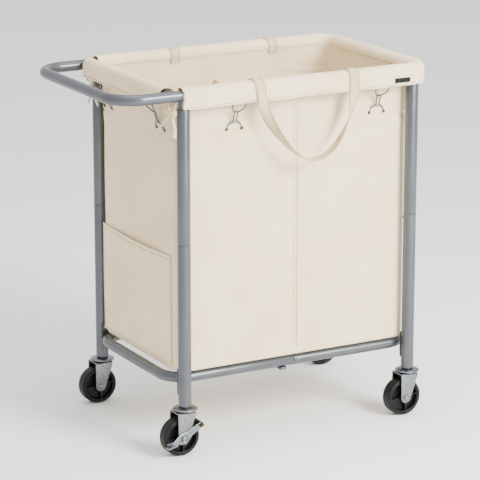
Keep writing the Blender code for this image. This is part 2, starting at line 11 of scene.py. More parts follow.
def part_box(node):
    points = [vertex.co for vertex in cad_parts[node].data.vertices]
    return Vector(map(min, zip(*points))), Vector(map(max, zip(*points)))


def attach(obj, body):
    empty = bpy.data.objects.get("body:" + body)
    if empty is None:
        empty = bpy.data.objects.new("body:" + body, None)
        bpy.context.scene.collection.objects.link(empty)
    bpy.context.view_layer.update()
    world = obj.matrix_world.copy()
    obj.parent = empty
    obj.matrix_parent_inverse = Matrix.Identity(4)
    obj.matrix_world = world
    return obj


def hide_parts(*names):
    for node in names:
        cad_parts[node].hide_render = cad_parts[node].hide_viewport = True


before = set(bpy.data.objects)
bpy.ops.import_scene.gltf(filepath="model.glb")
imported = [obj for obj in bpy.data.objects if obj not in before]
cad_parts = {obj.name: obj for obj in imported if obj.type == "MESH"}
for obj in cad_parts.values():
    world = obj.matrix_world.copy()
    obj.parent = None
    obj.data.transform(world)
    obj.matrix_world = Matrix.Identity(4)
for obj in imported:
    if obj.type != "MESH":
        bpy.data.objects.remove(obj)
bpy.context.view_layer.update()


# Room: a pale seamless floor and soft studio light, with a long lens at standing height.
# The key light comes from the front right, so the short side by the handle falls into soft shade.
def srgb(code):
    """The linear colour of an sRGB hex code."""
    parts = [int(code[i : i + 2], 16) / 255 for i in (1, 3, 5)]
    return tuple(c / 12.92 if c <= 0.04045 else ((c + 0.055) / 1.055) ** 2.4 for c in parts) + (1.0,)


def node(tree, kind, links=None, **settings):
    """Adds a node; links sets its inputs by name or number, from a socket or a value."""
    made = tree.nodes.new(kind)
    for key, value in settings.items():
        setattr(made, key, value)
    for key, value in (links or {}).items():
        if isinstance(value, bpy.types.NodeSocket):
            tree.links.new(value, made.inputs[key])
        else:
            made.inputs[key].default_value = value
    return made


def finish(name, colour, roughness, metallic=0.0, **sockets):
    """A Principled material; sockets are further values set on the shader itself."""
    made = bpy.data.materials.new(name)
    made.use_nodes = True
    shader = made.node_tree.nodes["Principled BSDF"]
    shader.inputs["Base Color"].default_value = srgb(colour)
    shader.inputs["Roughness"].default_value = roughness
    shader.inputs["Metallic"].default_value = metallic
    for key, value in sockets.items():
        shader.inputs[key.replace("_", " ")].default_value = value
    return made, made.node_tree, shader


def area_light(name, place, target, size, power):
    lamp = bpy.data.lights.new(name, "AREA")
    lamp.shape = "RECTANGLE"
    lamp.size, lamp.size_y = size
    lamp.energy = power
    made = bpy.data.objects.new(name, lamp)
    made.location = place
    made.rotation_euler = (Vector(target) - Vector(place)).to_track_quat("-Z", "Y").to_euler()
    bpy.context.scene.collection.objects.link(made)


HALF_FLOOR = 7.0
floor_mesh = bpy.data.meshes.new("studio_floor")
floor_corners = [(x * HALF_FLOOR, y * HALF_FLOOR, 0) for x, y in ((-1, -1), (1, -1), (1, 1), (-1, 1))]
floor_mesh.from_pydata(floor_corners, [], [(0, 1, 2, 3)])
floor_mesh.materials.append(finish("matt_white_paper", "#F4F4F3", 0.9)[0])
studio_floor = bpy.data.objects.new("studio_floor", floor_mesh)
bpy.context.scene.collection.objects.link(studio_floor)

world = bpy.data.worlds.new("studio_air")
world.use_nodes = True
air = world.node_tree.nodes["Background"].inputs
air["Color"].default_value = srgb("#FDFDFD")
air["Strength"].default_value = 1.4
bpy.context.scene.world = world
area_light("key_softbox", (1.5, -3.3, 2.6), (0, 0, 0.45), (1.6, 1.6), 350)
area_light("top_softbox", (0.1, -0.2, 3.2), (0, 0, 0.4), (2.4, 2.0), 50)
area_light("strip_softbox", (0.75, -3.4, 0.95), (0, 0, 0.5), (0.3, 2.4), 60)

camera_data = bpy.data.cameras.new("camera")
camera_data.lens, camera_data.sensor_width = 187.5, 36  # millimetres
camera_data.clip_end = 60
camera = bpy.data.objects.new("camera", camera_data)
camera.location = (-2.7502, -5.0205, 1.9541)
camera.rotation_euler = Vector((0.46640, 0.84605, -0.25823)).to_track_quat("-Z", "Y").to_euler()
bpy.context.scene.collection.objects.link(camera)
bpy.context.scene.camera = camera


# Posts: two steel tubes to a corner, the upper one swaged to slip into the lower one, sprayed
# with a silver-grey satin paint. A fine metal flake in the paint gives the long soft highlights.
def mottled(name, colour, roughness, metallic, cloud, tones, span=(0, 1), gloss=None, grain=None, **sockets):
    """A finish whose tone follows noise in the object's own space; a scale of 1000 gives 1 mm patches.

    The cloud noise turns the first tone into the second over the span and its gloss is a range of
    roughness; the grain is the (scale, detail, strength, distance) of a finer relief.
    """
    made, tree, shader = finish(name, colour, roughness, metallic, **sockets)
    place = node(tree, "ShaderNodeTexCoord").outputs["Object"]
    patches = node(tree, "ShaderNodeTexNoise", {"Vector": place, **cloud}).outputs["Fac"]
    shade = node(tree, "ShaderNodeValToRGB", {"Fac": patches})
    for stop, tone, position in zip(shade.color_ramp.elements, tones, span):
        stop.color, stop.position = srgb(tone), position
    tree.links.new(shade.outputs["Color"], shader.inputs["Base Color"])
    if gloss:
        rough = node(tree, "ShaderNodeMapRange", {"Value": patches, "To Min": gloss[0], "To Max": gloss[1]})
        tree.links.new(rough.outputs["Result"], shader.inputs["Roughness"])
    if grain:
        scale, detail, strength, distance = grain
        fine = node(tree, "ShaderNodeTexNoise", {"Vector": place, "Scale": scale, "Detail": detail})
        relief = {"Height": fine.outputs["Fac"], "Strength": strength, "Distance": distance}
        bump = node(tree, "ShaderNodeBump", relief)
        tree.links.new(bump.outputs["Normal"], shader.inputs["Normal"])
    return made


paint = mottled(
    "silver_grey_satin_paint",
    "#54575C",
    roughness=0.3,
    metallic=0.62,
    cloud={"Scale": 14.0, "Detail": 3.0},
    tones=("#505358", "#5A5D62"),
    span=(0.25, 0.75),
    gloss=(0.31, 0.35),
    grain=(2600.0, 1.0, 0.02, 0.0002),
    Coat_Weight=0.12,
    Coat_Roughness=0.2,
)


def piece(name, mesh, material, body="frame", stands_for=(), crease=35):
    """Links a finished mesh as a piece that rides on a body and stands for CAD nodes."""
    mesh.name = name
    if not mesh.materials:
        mesh.materials.append(material)
    mesh.shade_smooth()
    mesh.set_sharp_from_angle(angle=math.radians(crease))
    made = bpy.data.objects.new(name, mesh)
    bpy.context.scene.collection.objects.link(made)
    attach(made, body)
    if stands_for:
        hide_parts(*stands_for)
    return made


def grid_mesh(points, wrap_rows=False, wrap_columns=False, caps=False, uv=None):
    """A mesh of quads over rows of points; caps closes the first and last row."""
    rows, columns = len(points), len(points[0])
    faces = []
    for i in range(rows if wrap_rows else rows - 1):
        for j in range(columns if wrap_columns else columns - 1):
            a, b = i * columns, (i + 1) % rows * columns
            k = (j + 1) % columns
            faces.append((a + j, a + k, b + k, b + j))
    if caps:
        faces.append(tuple(range(columns))[::-1])
        faces.append(tuple(range((rows - 1) * columns, rows * columns)))
    mesh = bpy.data.meshes.new("grid")
    mesh.from_pydata([tuple(p) for row in points for p in row], [], faces)
    if uv is not None:
        layer = mesh.uv_layers.new(name="cloth")
        flat = [tuple(p) for row in uv for p in row]
        for loop in mesh.loops:
            layer.data[loop.index].uv = flat[loop.vertex_index]
    return mesh


def outward(mesh):
    """Turns every face of a closed mesh outwards."""
    bm = bmesh.new()
    bm.from_mesh(mesh)
    bmesh.ops.recalc_face_normals(bm, faces=bm.faces)
    bm.to_mesh(mesh)
    bm.free()
    return mesh


def smooth_path(points, steps):
    """A Catmull-Rom curve through points of any size."""
    points = [np.array(p, float) for p in points]
    line = [2 * points[0] - points[1], *points, 2 * points[-1] - points[-2]]
    curve = []
    for a, b, c, d in zip(line, line[1:], line[2:], line[3:]):
        for i in range(steps):
            t = i / steps
            square, cube = 2 * a - 5 * b + 4 * c - d, 3 * b - a - 3 * c + d
            curve.append(0.5 * (2 * b + (c - a) * t + square * t * t + cube * t**3))
    return curve + [points[-1]]


def rings_along(path, radii, sides, closed=False):
    """Circles of points square to a path, without twist."""
    path = [Vector(p) for p in path]
    count = len(path)
    rings = []
    side = None
    for i, p in enumerate(path):
        ahead = path[(i + 1) % count] if closed or i < count - 1 else p
        behind = path[i - 1] if closed or i else p
        along = (ahead - behind).normalized()
        if side is None:
            side = along.orthogonal().normalized()
        side = (side - along * side.dot(along)).normalized()
        lift = along.cross(side)
        turns = [2 * math.pi * j / sides for j in range(sides)]
        rings.append([p + (side * math.cos(a) + lift * math.sin(a)) * radii[i] for a in turns])
    return rings


TUBE_SIDES = 40
TUBE_WALL = 0.0012
LIP = 0.0004  # rounding of a cut tube end
SHOULDER = 0.0014  # length of the rounding where a tube is swaged


def tube_mesh(path, radius, neck_start=None, neck_end=None):
    """A bent tube with open ends; a neck is the (radius, length) of a swaged end."""
    path = [Vector(p) for p in path]
    radii = [radius] * len(path)
    for neck, end, inner in ((neck_start, 0, 1), (neck_end, -1, -2)):
        ahead = (path[end] - path[inner]).normalized()
        mouth = path[end].copy()
        if neck:
            path[end] = mouth - ahead * SHOULDER
            tip = [(mouth - ahead * 0.0005, radius - LIP), (mouth, neck[0])]
            tip.append((mouth + ahead * neck[1], neck[0]))
        else:
            path[end] = mouth - ahead * LIP
            tip = [(mouth, radius - LIP)]
        if end:
            path += [p for p, r in tip]
            radii += [r for p, r in tip]
        else:
            path = [p for p, r in reversed(tip)] + path
            radii = [r for p, r in reversed(tip)] + radii
    outer = rings_along(path, radii, TUBE_SIDES)
    inner = rings_along(path, [r - TUBE_WALL for r in radii], TUBE_SIDES)
    return outward(grid_mesh(outer + inner[::-1], wrap_rows=True, wrap_columns=True))


POST_R, RAIL_R = 0.015, 0.0125
LEFT_X, RIGHT_X, POST_Y = -0.245, 0.355, 0.216
CORNERS = {
    "front_left": (LEFT_X, -POST_Y),
    "rear_left": (LEFT_X, POST_Y),
    "front_right": (RIGHT_X, -POST_Y),
    "rear_right": (RIGHT_X, POST_Y),
}
SEAM_Z, SEAM_GAP = 0.495, 0.0002
HEAD_Z = 0.806  # the shoulder under the rim rail
for name, (x, y) in CORNERS.items():
    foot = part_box("post_lower_" + name)[0][2]
    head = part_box("post_upper_" + name)[1][2]
    lower = tube_mesh([(x, y, foot), (x, y, SEAM_Z - SEAM_GAP)], POST_R)
    piece("lower_post_tube_" + name, lower, paint, stands_for=["post_lower_" + name])
    necks = (0.0135, 0.04), (0.011, head - HEAD_Z)
    upper = tube_mesh([(x, y, SEAM_Z + SEAM_GAP), (x, y, HEAD_Z)], POST_R, *necks)
    piece("upper_post_tube_" + name, upper, paint, stands_for=["post_upper_" + name])


# Base ring, push handle and rim rail: bent steel tubes in the same paint, each pair of U halves
# slipped together at the middle of the long sides. The handle runs on from the rim as one tube.
MIDDLE_X = (LEFT_X + RIGHT_X) / 2
RAIL_Z, RING_Z, RING_Y = 0.836, 0.171, 0.1849


def filleted(corners, radius, steps=14):
    """A level path through corner points with each inner corner rounded."""
    points = [Vector(corners[0])]
    for before, turn, after in zip(corners, corners[1:], corners[2:]):
        turn = Vector(turn)
        back = (Vector(before) - turn).normalized()
        forth = (Vector(after) - turn).normalized()
        centre = turn + (back + forth) * radius
        for i in range(steps + 1):
            a = math.pi / 2 * i / steps
            points.append(centre - forth * radius * math.cos(a) - back * radius * math.sin(a))
    return points + [Vector(corners[-1])]


def u_path(open_x, end_x, half_y, z, bend):
    turns = (open_x, -half_y), (end_x, -half_y), (end_x, half_y), (open_x, half_y)
    return filleted([(x, y, z) for x, y in turns], bend)


for name, cad, end_x, half_y, z, bend in (
    ("base_ring_tube_left", "base_ring_left", -0.265, RING_Y, RING_Z, 0.055),
    ("base_ring_tube_right", "base_ring_right", 0.375, RING_Y, RING_Z, 0.055),
    ("push_handle_tube", "handle_tube", -0.405, POST_Y, RAIL_Z, 0.065),
    ("rim_rail_tube", "rim_rail", 0.387, POST_Y, RAIL_Z, 0.050),
):
    left = end_x < 0
    open_x = MIDDLE_X + (-SEAM_GAP if left else SEAM_GAP)
    neck = (0.011, 0.04) if left else None
    mesh = tube_mesh(u_path(open_x, end_x, half_y, z, bend), RAIL_R, neck, neck)
    piece(name, mesh, paint, stands_for=[cad])

RIM_BAR_X = -0.277
rim_bar_end = POST_Y - RAIL_R - 0.0006
rim_bar = tube_mesh([(RIM_BAR_X, -rim_bar_end, RAIL_Z), (RIM_BAR_X, rim_bar_end, RAIL_Z)], RAIL_R)
piece("rim_bar_tube", rim_bar, paint, stands_for=["rim_crossbar"])


# Crossbar and brackets: flat steel bar and plates in the same paint, with edges rounded by the
# tumbling before painting. Each keeps its CAD shape and only gains the soft edges.
def softened(cad, name, material, width, body="frame"):
    """A CAD piece with its doubles merged, flats dissolved and edges rounded."""
    bm = bmesh.new()
    bm.from_mesh(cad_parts[cad].data)
    bmesh.ops.remove_doubles(bm, verts=bm.verts, dist=0.00001)
    bmesh.ops.dissolve_limit(bm, angle_limit=math.radians(1), verts=bm.verts, edges=bm.edges)
    limit = math.radians(40)
    sharp = [e for e in bm.edges if len(e.link_faces) == 2 and e.calc_face_angle(0) > limit]
    bevel = {"offset": width, "segments": 2, "profile": 0.5, "clamp_overlap": True}
    bmesh.ops.bevel(bm, geom=sharp, affect="EDGES", **bevel)
    mesh = bpy.data.meshes.new(name)
    bm.to_mesh(mesh)
    bm.free()
    return piece(name, mesh, material, body, [cad], crease=50)


softened("base_crossbar", "flat_base_bar", paint, 0.0012)
for name in CORNERS:
    softened("base_bracket_" + name, "bracket_plate_" + name, paint, 0.0006)


# Bolts and screws: zinc-plated button-head bolts in the brackets and crossbar, and pan-head
# screws at the tube joints. They clamp through drilled holes into rivet nuts inside the tubes.
# The zinc is bright but blooms in soft dull patches, with scratches too fine to tell apart.
zinc = mottled(
    "bright_zinc_plate",
    "#8C9094",
    roughness=0.3,
    metallic=1.0,
    cloud={"Scale": 90.0, "Detail": 4.0, "Roughness": 0.6},
    tones=("#5A5E62", "#93979B"),
    gloss=(0.2, 0.42),
    grain=(1500.0, 2.0, 0.06, 0.0002),
)


def scatter_tree(name, sizes, shape):
    """A node tree that puts a shape on every point, its Z along "aim" and its X along "side"."""
    tree = bpy.data.node_groups.new(name, "GeometryNodeTree")
    tree.interface.new_socket("Geometry", in_out="INPUT", socket_type="NodeSocketGeometry")
    tree.interface.new_socket("Geometry", in_out="OUTPUT", socket_type="NodeSocketGeometry")
    for size in sizes:
        tree.interface.new_socket(size, in_out="INPUT", socket_type="NodeSocketFloat")
    tree.interface.new_socket("Material", in_out="INPUT", socket_type="NodeSocketMaterial")
    start = tree.nodes.new("NodeGroupInput")
    rotation = None
    for key, axis, pivot in (("aim", "Z", "AUTO"), ("side", "X", "Z")):
        named = node(tree, "GeometryNodeInputNamedAttribute", {"Name": key}, data_type="FLOAT_VECTOR")
        links = {"Vector": named.outputs["Attribute"]}
        if rotation is not None:
            links["Rotation"] = rotation
        align = node(tree, "FunctionNodeAlignRotationToVector", links, axis=axis, pivot_axis=pivot)
        rotation = align.outputs["Rotation"]
    links = {"Points": start.outputs["Geometry"], "Instance": shape(tree, start), "Rotation": rotation}
    spread = node(tree, "GeometryNodeInstanceOnPoints", links)
    real = node(tree, "GeometryNodeRealizeInstances", {"Geometry": spread.outputs["Instances"]})
    links = {"Geometry": real.outputs["Geometry"], "Material": start.outputs["Material"]}
    faced = node(tree, "GeometryNodeSetMaterial", links)
    node(tree, "NodeGroupOutput", {"Geometry": faced.outputs["Geometry"]})
    return tree


def scattered(name, tree, points, sizes, material, body="frame", crease=35):
    """Runs a scatter tree on (place, aim, side) points and keeps the plain mesh."""
    seeds = bpy.data.meshes.new(name + "_points")
    seeds.from_pydata([tuple(p[0]) for p in points], [], [])
    for key, column in (("aim", 1), ("side", 2)):
        layer = seeds.attributes.new(key, "FLOAT_VECTOR", "POINT")
        layer.data.foreach_set("vector", [c for p in points for c in p[column]])
    holder = bpy.data.objects.new(name + "_points", seeds)
    bpy.context.scene.collection.objects.link(holder)
    step = holder.modifiers.new("scatter", "NODES")
    step.node_group = tree
    for item in tree.interface.items_tree:
        if item.in_out == "INPUT" and item.name in sizes:
            step[item.identifier] = sizes[item.name]
        if item.in_out == "INPUT" and item.name == "Material":
            step[item.identifier] = material
    graph = bpy.context.evaluated_depsgraph_get()
    mesh = bpy.data.meshes.new_from_object(holder.evaluated_get(graph))
    bpy.data.objects.remove(holder, do_unlink=True)
    for key in ("aim", "side"):
        if key in mesh.attributes:
            mesh.attributes.remove(mesh.attributes[key])
    return piece(name, mesh, material, body, crease=crease)


def scaled(tree, geometry, x, y, z):
    size = node(tree, "ShaderNodeCombineXYZ", {"X": x, "Y": y, "Z": z})
    links = {"Geometry": geometry, "Scale": size.outputs["Vector"]}
    return node(tree, "GeometryNodeTransform", links).outputs["Geometry"]


def button_head(tree, start):
    """A washer-thin flange with a low dome on it."""
    radius = start.outputs["Head radius"]
    disc = {"Vertices": 24, "Radius": radius, "Depth": 0.0012}
    flange = node(tree, "GeometryNodeMeshCylinder", disc).outputs["Mesh"]
    ball = node(tree, "GeometryNodeMeshUVSphere", {"Segments": 24, "Rings": 12, "Radius": 1.0})
    wide = node(tree, "ShaderNodeMath", {0: radius, 1: 0.92}, operation="MULTIPLY").outputs[0]
    dome = scaled(tree, ball.outputs["Mesh"], wide, wide, start.outputs["Dome height"])
    both = node(tree, "GeometryNodeJoinGeometry")
    for part in (flange, dome):
        tree.links.new(part, both.inputs["Geometry"])
    return both.outputs["Geometry"]


bolt_tree = scatter_tree("button_heads", ["Head radius", "Dome height"], button_head)
BRACKET_FACE = 0.0191  # from a post's axis to the plate's inner face
BAR_BACK, BAR_LOW = 0.028, 0.1515  # the crossbar's offset from the middle, and its underside
bolts = []
for x, y in CORNERS.values():
    inward = -math.copysign(1, y)
    for z in (0.1524, 0.1946):
        bolts.append(((x, y + inward * BRACKET_FACE, z), (0, inward, 0), (1, 0, 0)))
for y in (-RING_Y, RING_Y):
    bolts.append(((MIDDLE_X - BAR_BACK, y, BAR_LOW), (0, 0, -1), (1, 0, 0)))
sizes = {"Head radius": 0.0046, "Dome height": 0.0026}
scattered("bracket_bolt_heads", bolt_tree, bolts, sizes, zinc)
screws = []
for x, y in CORNERS.values():
    out = Vector((math.copysign(1, MIDDLE_X - x), -math.copysign(1, y), 0)).normalized()
    screws.append((Vector((x, y, SEAM_Z - 0.011)) + out * (POST_R + 0.0004), out, (0, 0, 1)))
for y in (-RING_Y, RING_Y):
    out = (0, math.copysign(1, y), 0)
    screws.append(((MIDDLE_X + 0.009, y + out[1] * (RAIL_R + 0.0002), RING_Z + 0.002), out, (1, 0, 0)))
sizes = {"Head radius": 0.0034, "Dome height": 0.002}
scattered("tube_joint_screws", bolt_tree, screws, sizes, zinc)


# Casters: a riveted kingpin and pressed races under each post, a bent zinc-plated fork, and a
# black moulded wheel on a domed axle. The fork swivels on the kingpin and trails its wheel.
# Moulded polypropylene: nearly black, with a fine spark-eroded grain and paler scuffs.
black_plastic = mottled(
    "black_moulded_polypropylene",
    "#0E0E0F",
    roughness=0.5,
    metallic=0.0,
    cloud={"Scale": 60.0, "Detail": 5.0},
    tones=("#09090A", "#131415"),
    span=(0.4, 0.85),
    gloss=(0.34, 0.6),
    grain=(1800.0, 2.0, 0.12, 0.0003),
    IOR=1.49,
    Specular_IOR_Level=0.22,
)
WHEEL_R, TRAIL = 0.045, 0.015


def caster_place(name):
    """The matrix from a caster's own frame to the cart's."""
    x, y = CORNERS[name]
    turn = math.pi if name == "rear_right" else 0.0
    return Matrix.Translation((x, y, 0)) @ Matrix.Rotation(turn, 4, "Z")


def turned_mesh(profile, centre, axis, sides=48):
    """Turns a closed profile of (radius, height) points round an axis; radius 0 closes it."""
    tip = Matrix.Rotation(-math.pi / 2, 4, "X") if axis == "Y" else Matrix.Identity(4)
    rows = []
    for r, h in profile:
        turns = [2 * math.pi * j / sides for j in range(sides)]
        ring = [Vector((r * math.cos(a), r * math.sin(a), h)) for a in turns]
        rows.append([Vector(centre) + tip @ p for p in ring])
    mesh = grid_mesh(rows, wrap_rows=True, wrap_columns=True)
    bm = bmesh.new()
    bm.from_mesh(mesh)
    bmesh.ops.remove_doubles(bm, verts=bm.verts, dist=0.000001)
    bmesh.ops.dissolve_degenerate(bm, dist=0.000001, edges=bm.edges)
    bm.to_mesh(mesh)
    bm.free()
    return outward(mesh)


def rounded(points, radius=0.0006, steps=3):
    """Rounds the corners of a closed profile a little."""
    result = []
    count = len(points)
    for i, p in enumerate(points):
        p = Vector(p)
        a, b = Vector(points[i - 1]) - p, Vector(points[(i + 1) % count]) - p
        reach = min(radius, a.length * 0.45, b.length * 0.45)
        if p[0] == 0 or reach < 1e-5:
            result.append(tuple(p))
            continue
        first, last = p + a.normalized() * reach, p + b.normalized() * reach
        for k in range(steps + 1):
            t = k / steps
            result.append(tuple((1 - t) ** 2 * first + 2 * t * (1 - t) * p + t * t * last))
    return result


def wheel_profile():
    bore, hub, rim, web = 0.0043, 0.0105, 0.0345, 0.0045
    half = [(bore, 0.0185), (hub, 0.0185), (hub + 0.002, web), (rim - 0.002, web), (rim, 0.0145)]
    half += [(0.0362, 0.016), (0.0385, 0.016), (0.0392, 0.0148), (0.0405, 0.0152)]
    half += [(0.0435, 0.0142), (0.0449, 0.0115), (WHEEL_R, 0.006)]
    return half + [(r, -h) for r, h in reversed(half)]


def rib_block(tree, start):
    cube = node(tree, "GeometryNodeMeshCube", {"Size": (1.0, 1.0, 1.0)}).outputs["Mesh"]
    out = start.outputs
    return scaled(tree, cube, out["Thickness"], out["Depth"], out["Length"])


rib_tree = scatter_tree("wheel_ribs", ["Thickness", "Depth", "Length"], rib_block)
RIBS = 4
BRAKED = ("front_left", "rear_right")
HUB = (-TRAIL, 0, WHEEL_R)
FORK_FACE, LEVER_T = 0.0223, 0.0023  # from the wheel's middle to the fork's outer face; lever plate
PIN_LOW = 0.1012  # the rolled edge of the kingpin's hollow end
dome = [(0, 0.0046), (0.003, 0.0043), (0.005, 0.0032), (0.0064, 0.0014), (0.0068, 0)]
stem = [(0, PIN_LOW - 0.003), (0.004, PIN_LOW - 0.0028), (0.008, PIN_LOW - 0.0012), (0.009, PIN_LOW)]
stem += [(0.005, PIN_LOW), (0.005, 0.1134), (0.0115, 0.1134), (0.0115, 0.1152), (0.0105, 0.1158)]
stem += [(0.0105, 0.1165), (0.013, 0.1165), (0.013, 0.149), (0, 0.149)]
race = [(0.0053, 0.1043), (0.0195, 0.1043), (0.0205, 0.1058), (0.0278, 0.1066), (0.029, 0.1078)]
race += [(0.0287, 0.1092), (0.0262, 0.1108), (0.0215, 0.1121), (0.0165, 0.1128), (0.0053, 0.113)]
race, wheel = rounded(race, 0.0004), rounded(wheel_profile())
for name in CORNERS:
    place = caster_place(name)
    swivel, spin = "caster_%s_swivel" % name, "caster_%s_wheel" % name
    outer = FORK_FACE + (LEVER_T if name in BRAKED else 0)
    pin = [(r, -outer - h) for r, h in dome] + [(0.004, -outer), (0.004, FORK_FACE)]
    pin += [(r, FORK_FACE + h) for r, h in dome[::-1]]
    for title, cad, profile, centre, axis, material, body, slot in (
        ("kingpin_", "caster_stem_", stem, (0, 0, 0), "Z", zinc, "frame", "zinc"),
        ("race_cup_", "caster_race_", race, (0, 0, 0), "Z", zinc, "frame", "zinc"),
        ("domed_axle_", "caster_axle_", pin, HUB, "Y", zinc, swivel, "zinc"),
        ("wheel_tread_", "caster_wheel_", wheel, HUB, "Y", black_plastic, spin, "tyre_plastic"),
    ):
        mesh = turned_mesh(profile, centre, axis, 64 if body == spin else 48)
        mesh.transform(place)
        piece(title + name, mesh, material, body, [cad + name], crease=28)
    ribs = []
    for side in (-1, 1):
        for k in range(RIBS):
            a = 2 * math.pi * k / RIBS + math.radians(8)
            aim = Vector((math.cos(a), 0, math.sin(a)))
            spot = Vector(HUB) + aim * 0.0228 + Vector((0, side * 0.0092, 0))
            across = aim.cross(Vector((0, 1, 0)))
            ribs.append((place @ spot, place.to_3x3() @ aim, place.to_3x3() @ across))
    sizes = {"Thickness": 0.0034, "Depth": 0.0098, "Length": 0.0242}
    scattered("wheel_ribs_" + name, rib_tree, ribs, sizes, black_plastic, spin)
    softened("caster_fork_" + name, "bent_fork_" + name, zinc, 0.0005, swivel)


# Brakes: a pressed lever on the axle's outer end with a foot tab, and a yellow zinc-plated cross
# bolt that carries a rubber shoe over the tread. The yellow plate is a dull brass, mottled dark.
YELLOW_ZINC = {"Scale": 300.0, "Detail": 3.0}
brass = mottled("yellow_zinc_plate", "#5E4A2C", 0.4, 1.0, YELLOW_ZINC, ("#33281A", "#66512F"))
SHOE_ARM, SHOE_TURN = 0.052, math.radians(31)
SHOE = (-TRAIL + SHOE_ARM * math.cos(SHOE_TURN), 0, WHEEL_R + SHOE_ARM * math.sin(SHOE_TURN))
boss = [(0.0072, -0.0240), (0.0074, -0.0250), (0.0084, -0.0255), (0.0098, -0.0251), (0.0104, -0.0240)]
shoe = [(0, -0.022), (0.0054, -0.022), (0.0058, -0.0212), (0.0058, 0.016), (0.005, 0.017), (0, 0.017)]
shoe = rounded(shoe, 0.0005)
head = [(0, -0.0298), (0.0032, -0.0296), (0.0047, -0.0284), (0.0052, -0.0268)]
head += [(0.0052, -0.0246), (0, -0.0246)]
for name in BRAKED:
    body = "brake_" + name
    lever = softened("brake_lever_" + name, "pressed_brake_lever_" + name, zinc, 0.0004, body)
    place = caster_place(name)
    for v in lever.data.vertices:  # the plate swells to a round eye about the axle
        local = place.inverted() @ v.co
        from_axle = Vector((local.x + TRAIL, 0, local.z - WHEEL_R))
        if 0.0075 < from_axle.length < 0.03 and local.y > -0.0245:
            widen = 0.0042 * math.exp(-(((from_axle.length - 0.011) / 0.011) ** 2))
            v.co += place.to_3x3() @ (Vector((0, 0, math.copysign(1, from_axle.z))) * widen)
    for title, profile, centre, sides, material, slot, cad in (
        ("pressed_boss_", boss, HUB, 40, zinc, "zinc", []),
        ("rubber_shoe_", shoe, SHOE, 48, black_plastic, "tyre_plastic", ["brake_shoe_" + name]),
        ("cross_bolt_head_", head, SHOE, 32, brass, "zinc", []),
    ):
        mesh = turned_mesh(profile, centre, "Y", sides)
        mesh.transform(place)
        piece(title + name, mesh, material, body, cad)


# Bag: one open box sewn from unbleached cotton-look cloth, hung inside the rim and stretched
# square by the hooks. Its walls belly a little, pull in at the divider seam and crease at the hooks.
THREADS_PER_M = 700.0  # real yarns lie 0.6 mm apart; drawn at 1.4 mm so that the weave still shows
WAVES_PER_M = math.pi / 10  # a wave texture at scale 1 repeats every pi / 10 units


def woven_cloth(name, pale, deep):
    """Plain-weave cloth on the "cloth" UV map, which is in metres along warp and weft."""
    made, tree, shader = finish(name, pale, 0.92, Sheen_Weight=0.08, Sheen_Roughness=0.5)
    uv = node(tree, "ShaderNodeUVMap", uv_map="cloth").outputs["UV"]
    place = node(tree, "ShaderNodeTexCoord").outputs["Object"]
    patches = {"Vector": place, "Scale": 9.0, "Detail": 4.0, "Roughness": 0.55}
    cloud = node(tree, "ShaderNodeTexNoise", patches)
    slubs = []
    for scale in ((40.0, 900.0, 1.0), (900.0, 40.0, 1.0)):  # thick places, 25 mm long and 1 mm wide
        drawn_out = node(tree, "ShaderNodeMapping", {"Vector": uv, "Scale": scale}).outputs["Vector"]
        slub = node(tree, "ShaderNodeTexNoise", {"Vector": drawn_out, "Scale": 1.0, "Detail": 2.0})
        slubs.append(slub.outputs["Fac"])
    yarns = node(tree, "ShaderNodeMath", {0: slubs[0], 1: slubs[1]}, operation="ADD")
    tint = node(tree, "ShaderNodeMath", {0: yarns.outputs[0], 1: 0.3}, operation="MULTIPLY")
    total = node(tree, "ShaderNodeMath", {0: tint.outputs[0], 1: cloud.outputs["Fac"]}, operation="ADD")
    shade = node(tree, "ShaderNodeValToRGB", {"Fac": total.outputs[0]})
    for stop, tone, position in zip(shade.color_ramp.elements, (deep, pale), (0.5, 0.95)):
        stop.color, stop.position = srgb(tone), position
    tree.links.new(shade.outputs["Color"], shader.inputs["Base Color"])
    wave = {"Vector": uv, "Scale": THREADS_PER_M * WAVES_PER_M, "Distortion": 0.4}
    warp, weft = (node(tree, "ShaderNodeTexWave", wave, bands_direction=way).outputs["Fac"] for way in "XY")
    weave = node(tree, "ShaderNodeMath", {0: warp, 1: weft}, operation="ADD")
    relief = node(tree, "ShaderNodeMath", {0: weave.outputs[0], 1: yarns.outputs[0]}, operation="ADD")
    grain = node(tree, "ShaderNodeBump", {"Height": relief.outputs[0], "Strength": 0.25, "Distance": 0.0004})
    tree.links.new(grain.outputs["Normal"], shader.inputs["Normal"])
    return made


canvas = woven_cloth("unbleached_cotton_canvas", "#EFDCB6", "#E2CA9E")
BAG_LEFT, BAG_RIGHT, BAG_Y = -0.252, 0.362, 0.198
BAG_CORNER, BAG_LOW, BAG_HIGH = 0.034, 0.1868, 0.838
CLOTH_T = 0.0013
HOOKS = {  # where each hook pulls on the bag, and the way that wall faces
    "front_left": (-0.110, -BAG_Y, 0, -1),
    "front_right": (0.266, -BAG_Y, 0, -1),
    "rear_left": (-0.110, BAG_Y, 0, 1),
    "rear_right": (0.266, BAG_Y, 0, 1),
    "left_front": (BAG_LEFT, -0.126, -1, 0),
    "left_rear": (BAG_LEFT, 0.142, -1, 0),
    "right_front": (BAG_RIGHT, -0.134, 1, 0),
    "right_rear": (BAG_RIGHT, 0.134, 1, 0),
}
EYELET_Z = 0.745
EYELET_GAP = 0.019  # half the distance between the two eyelets of a hook


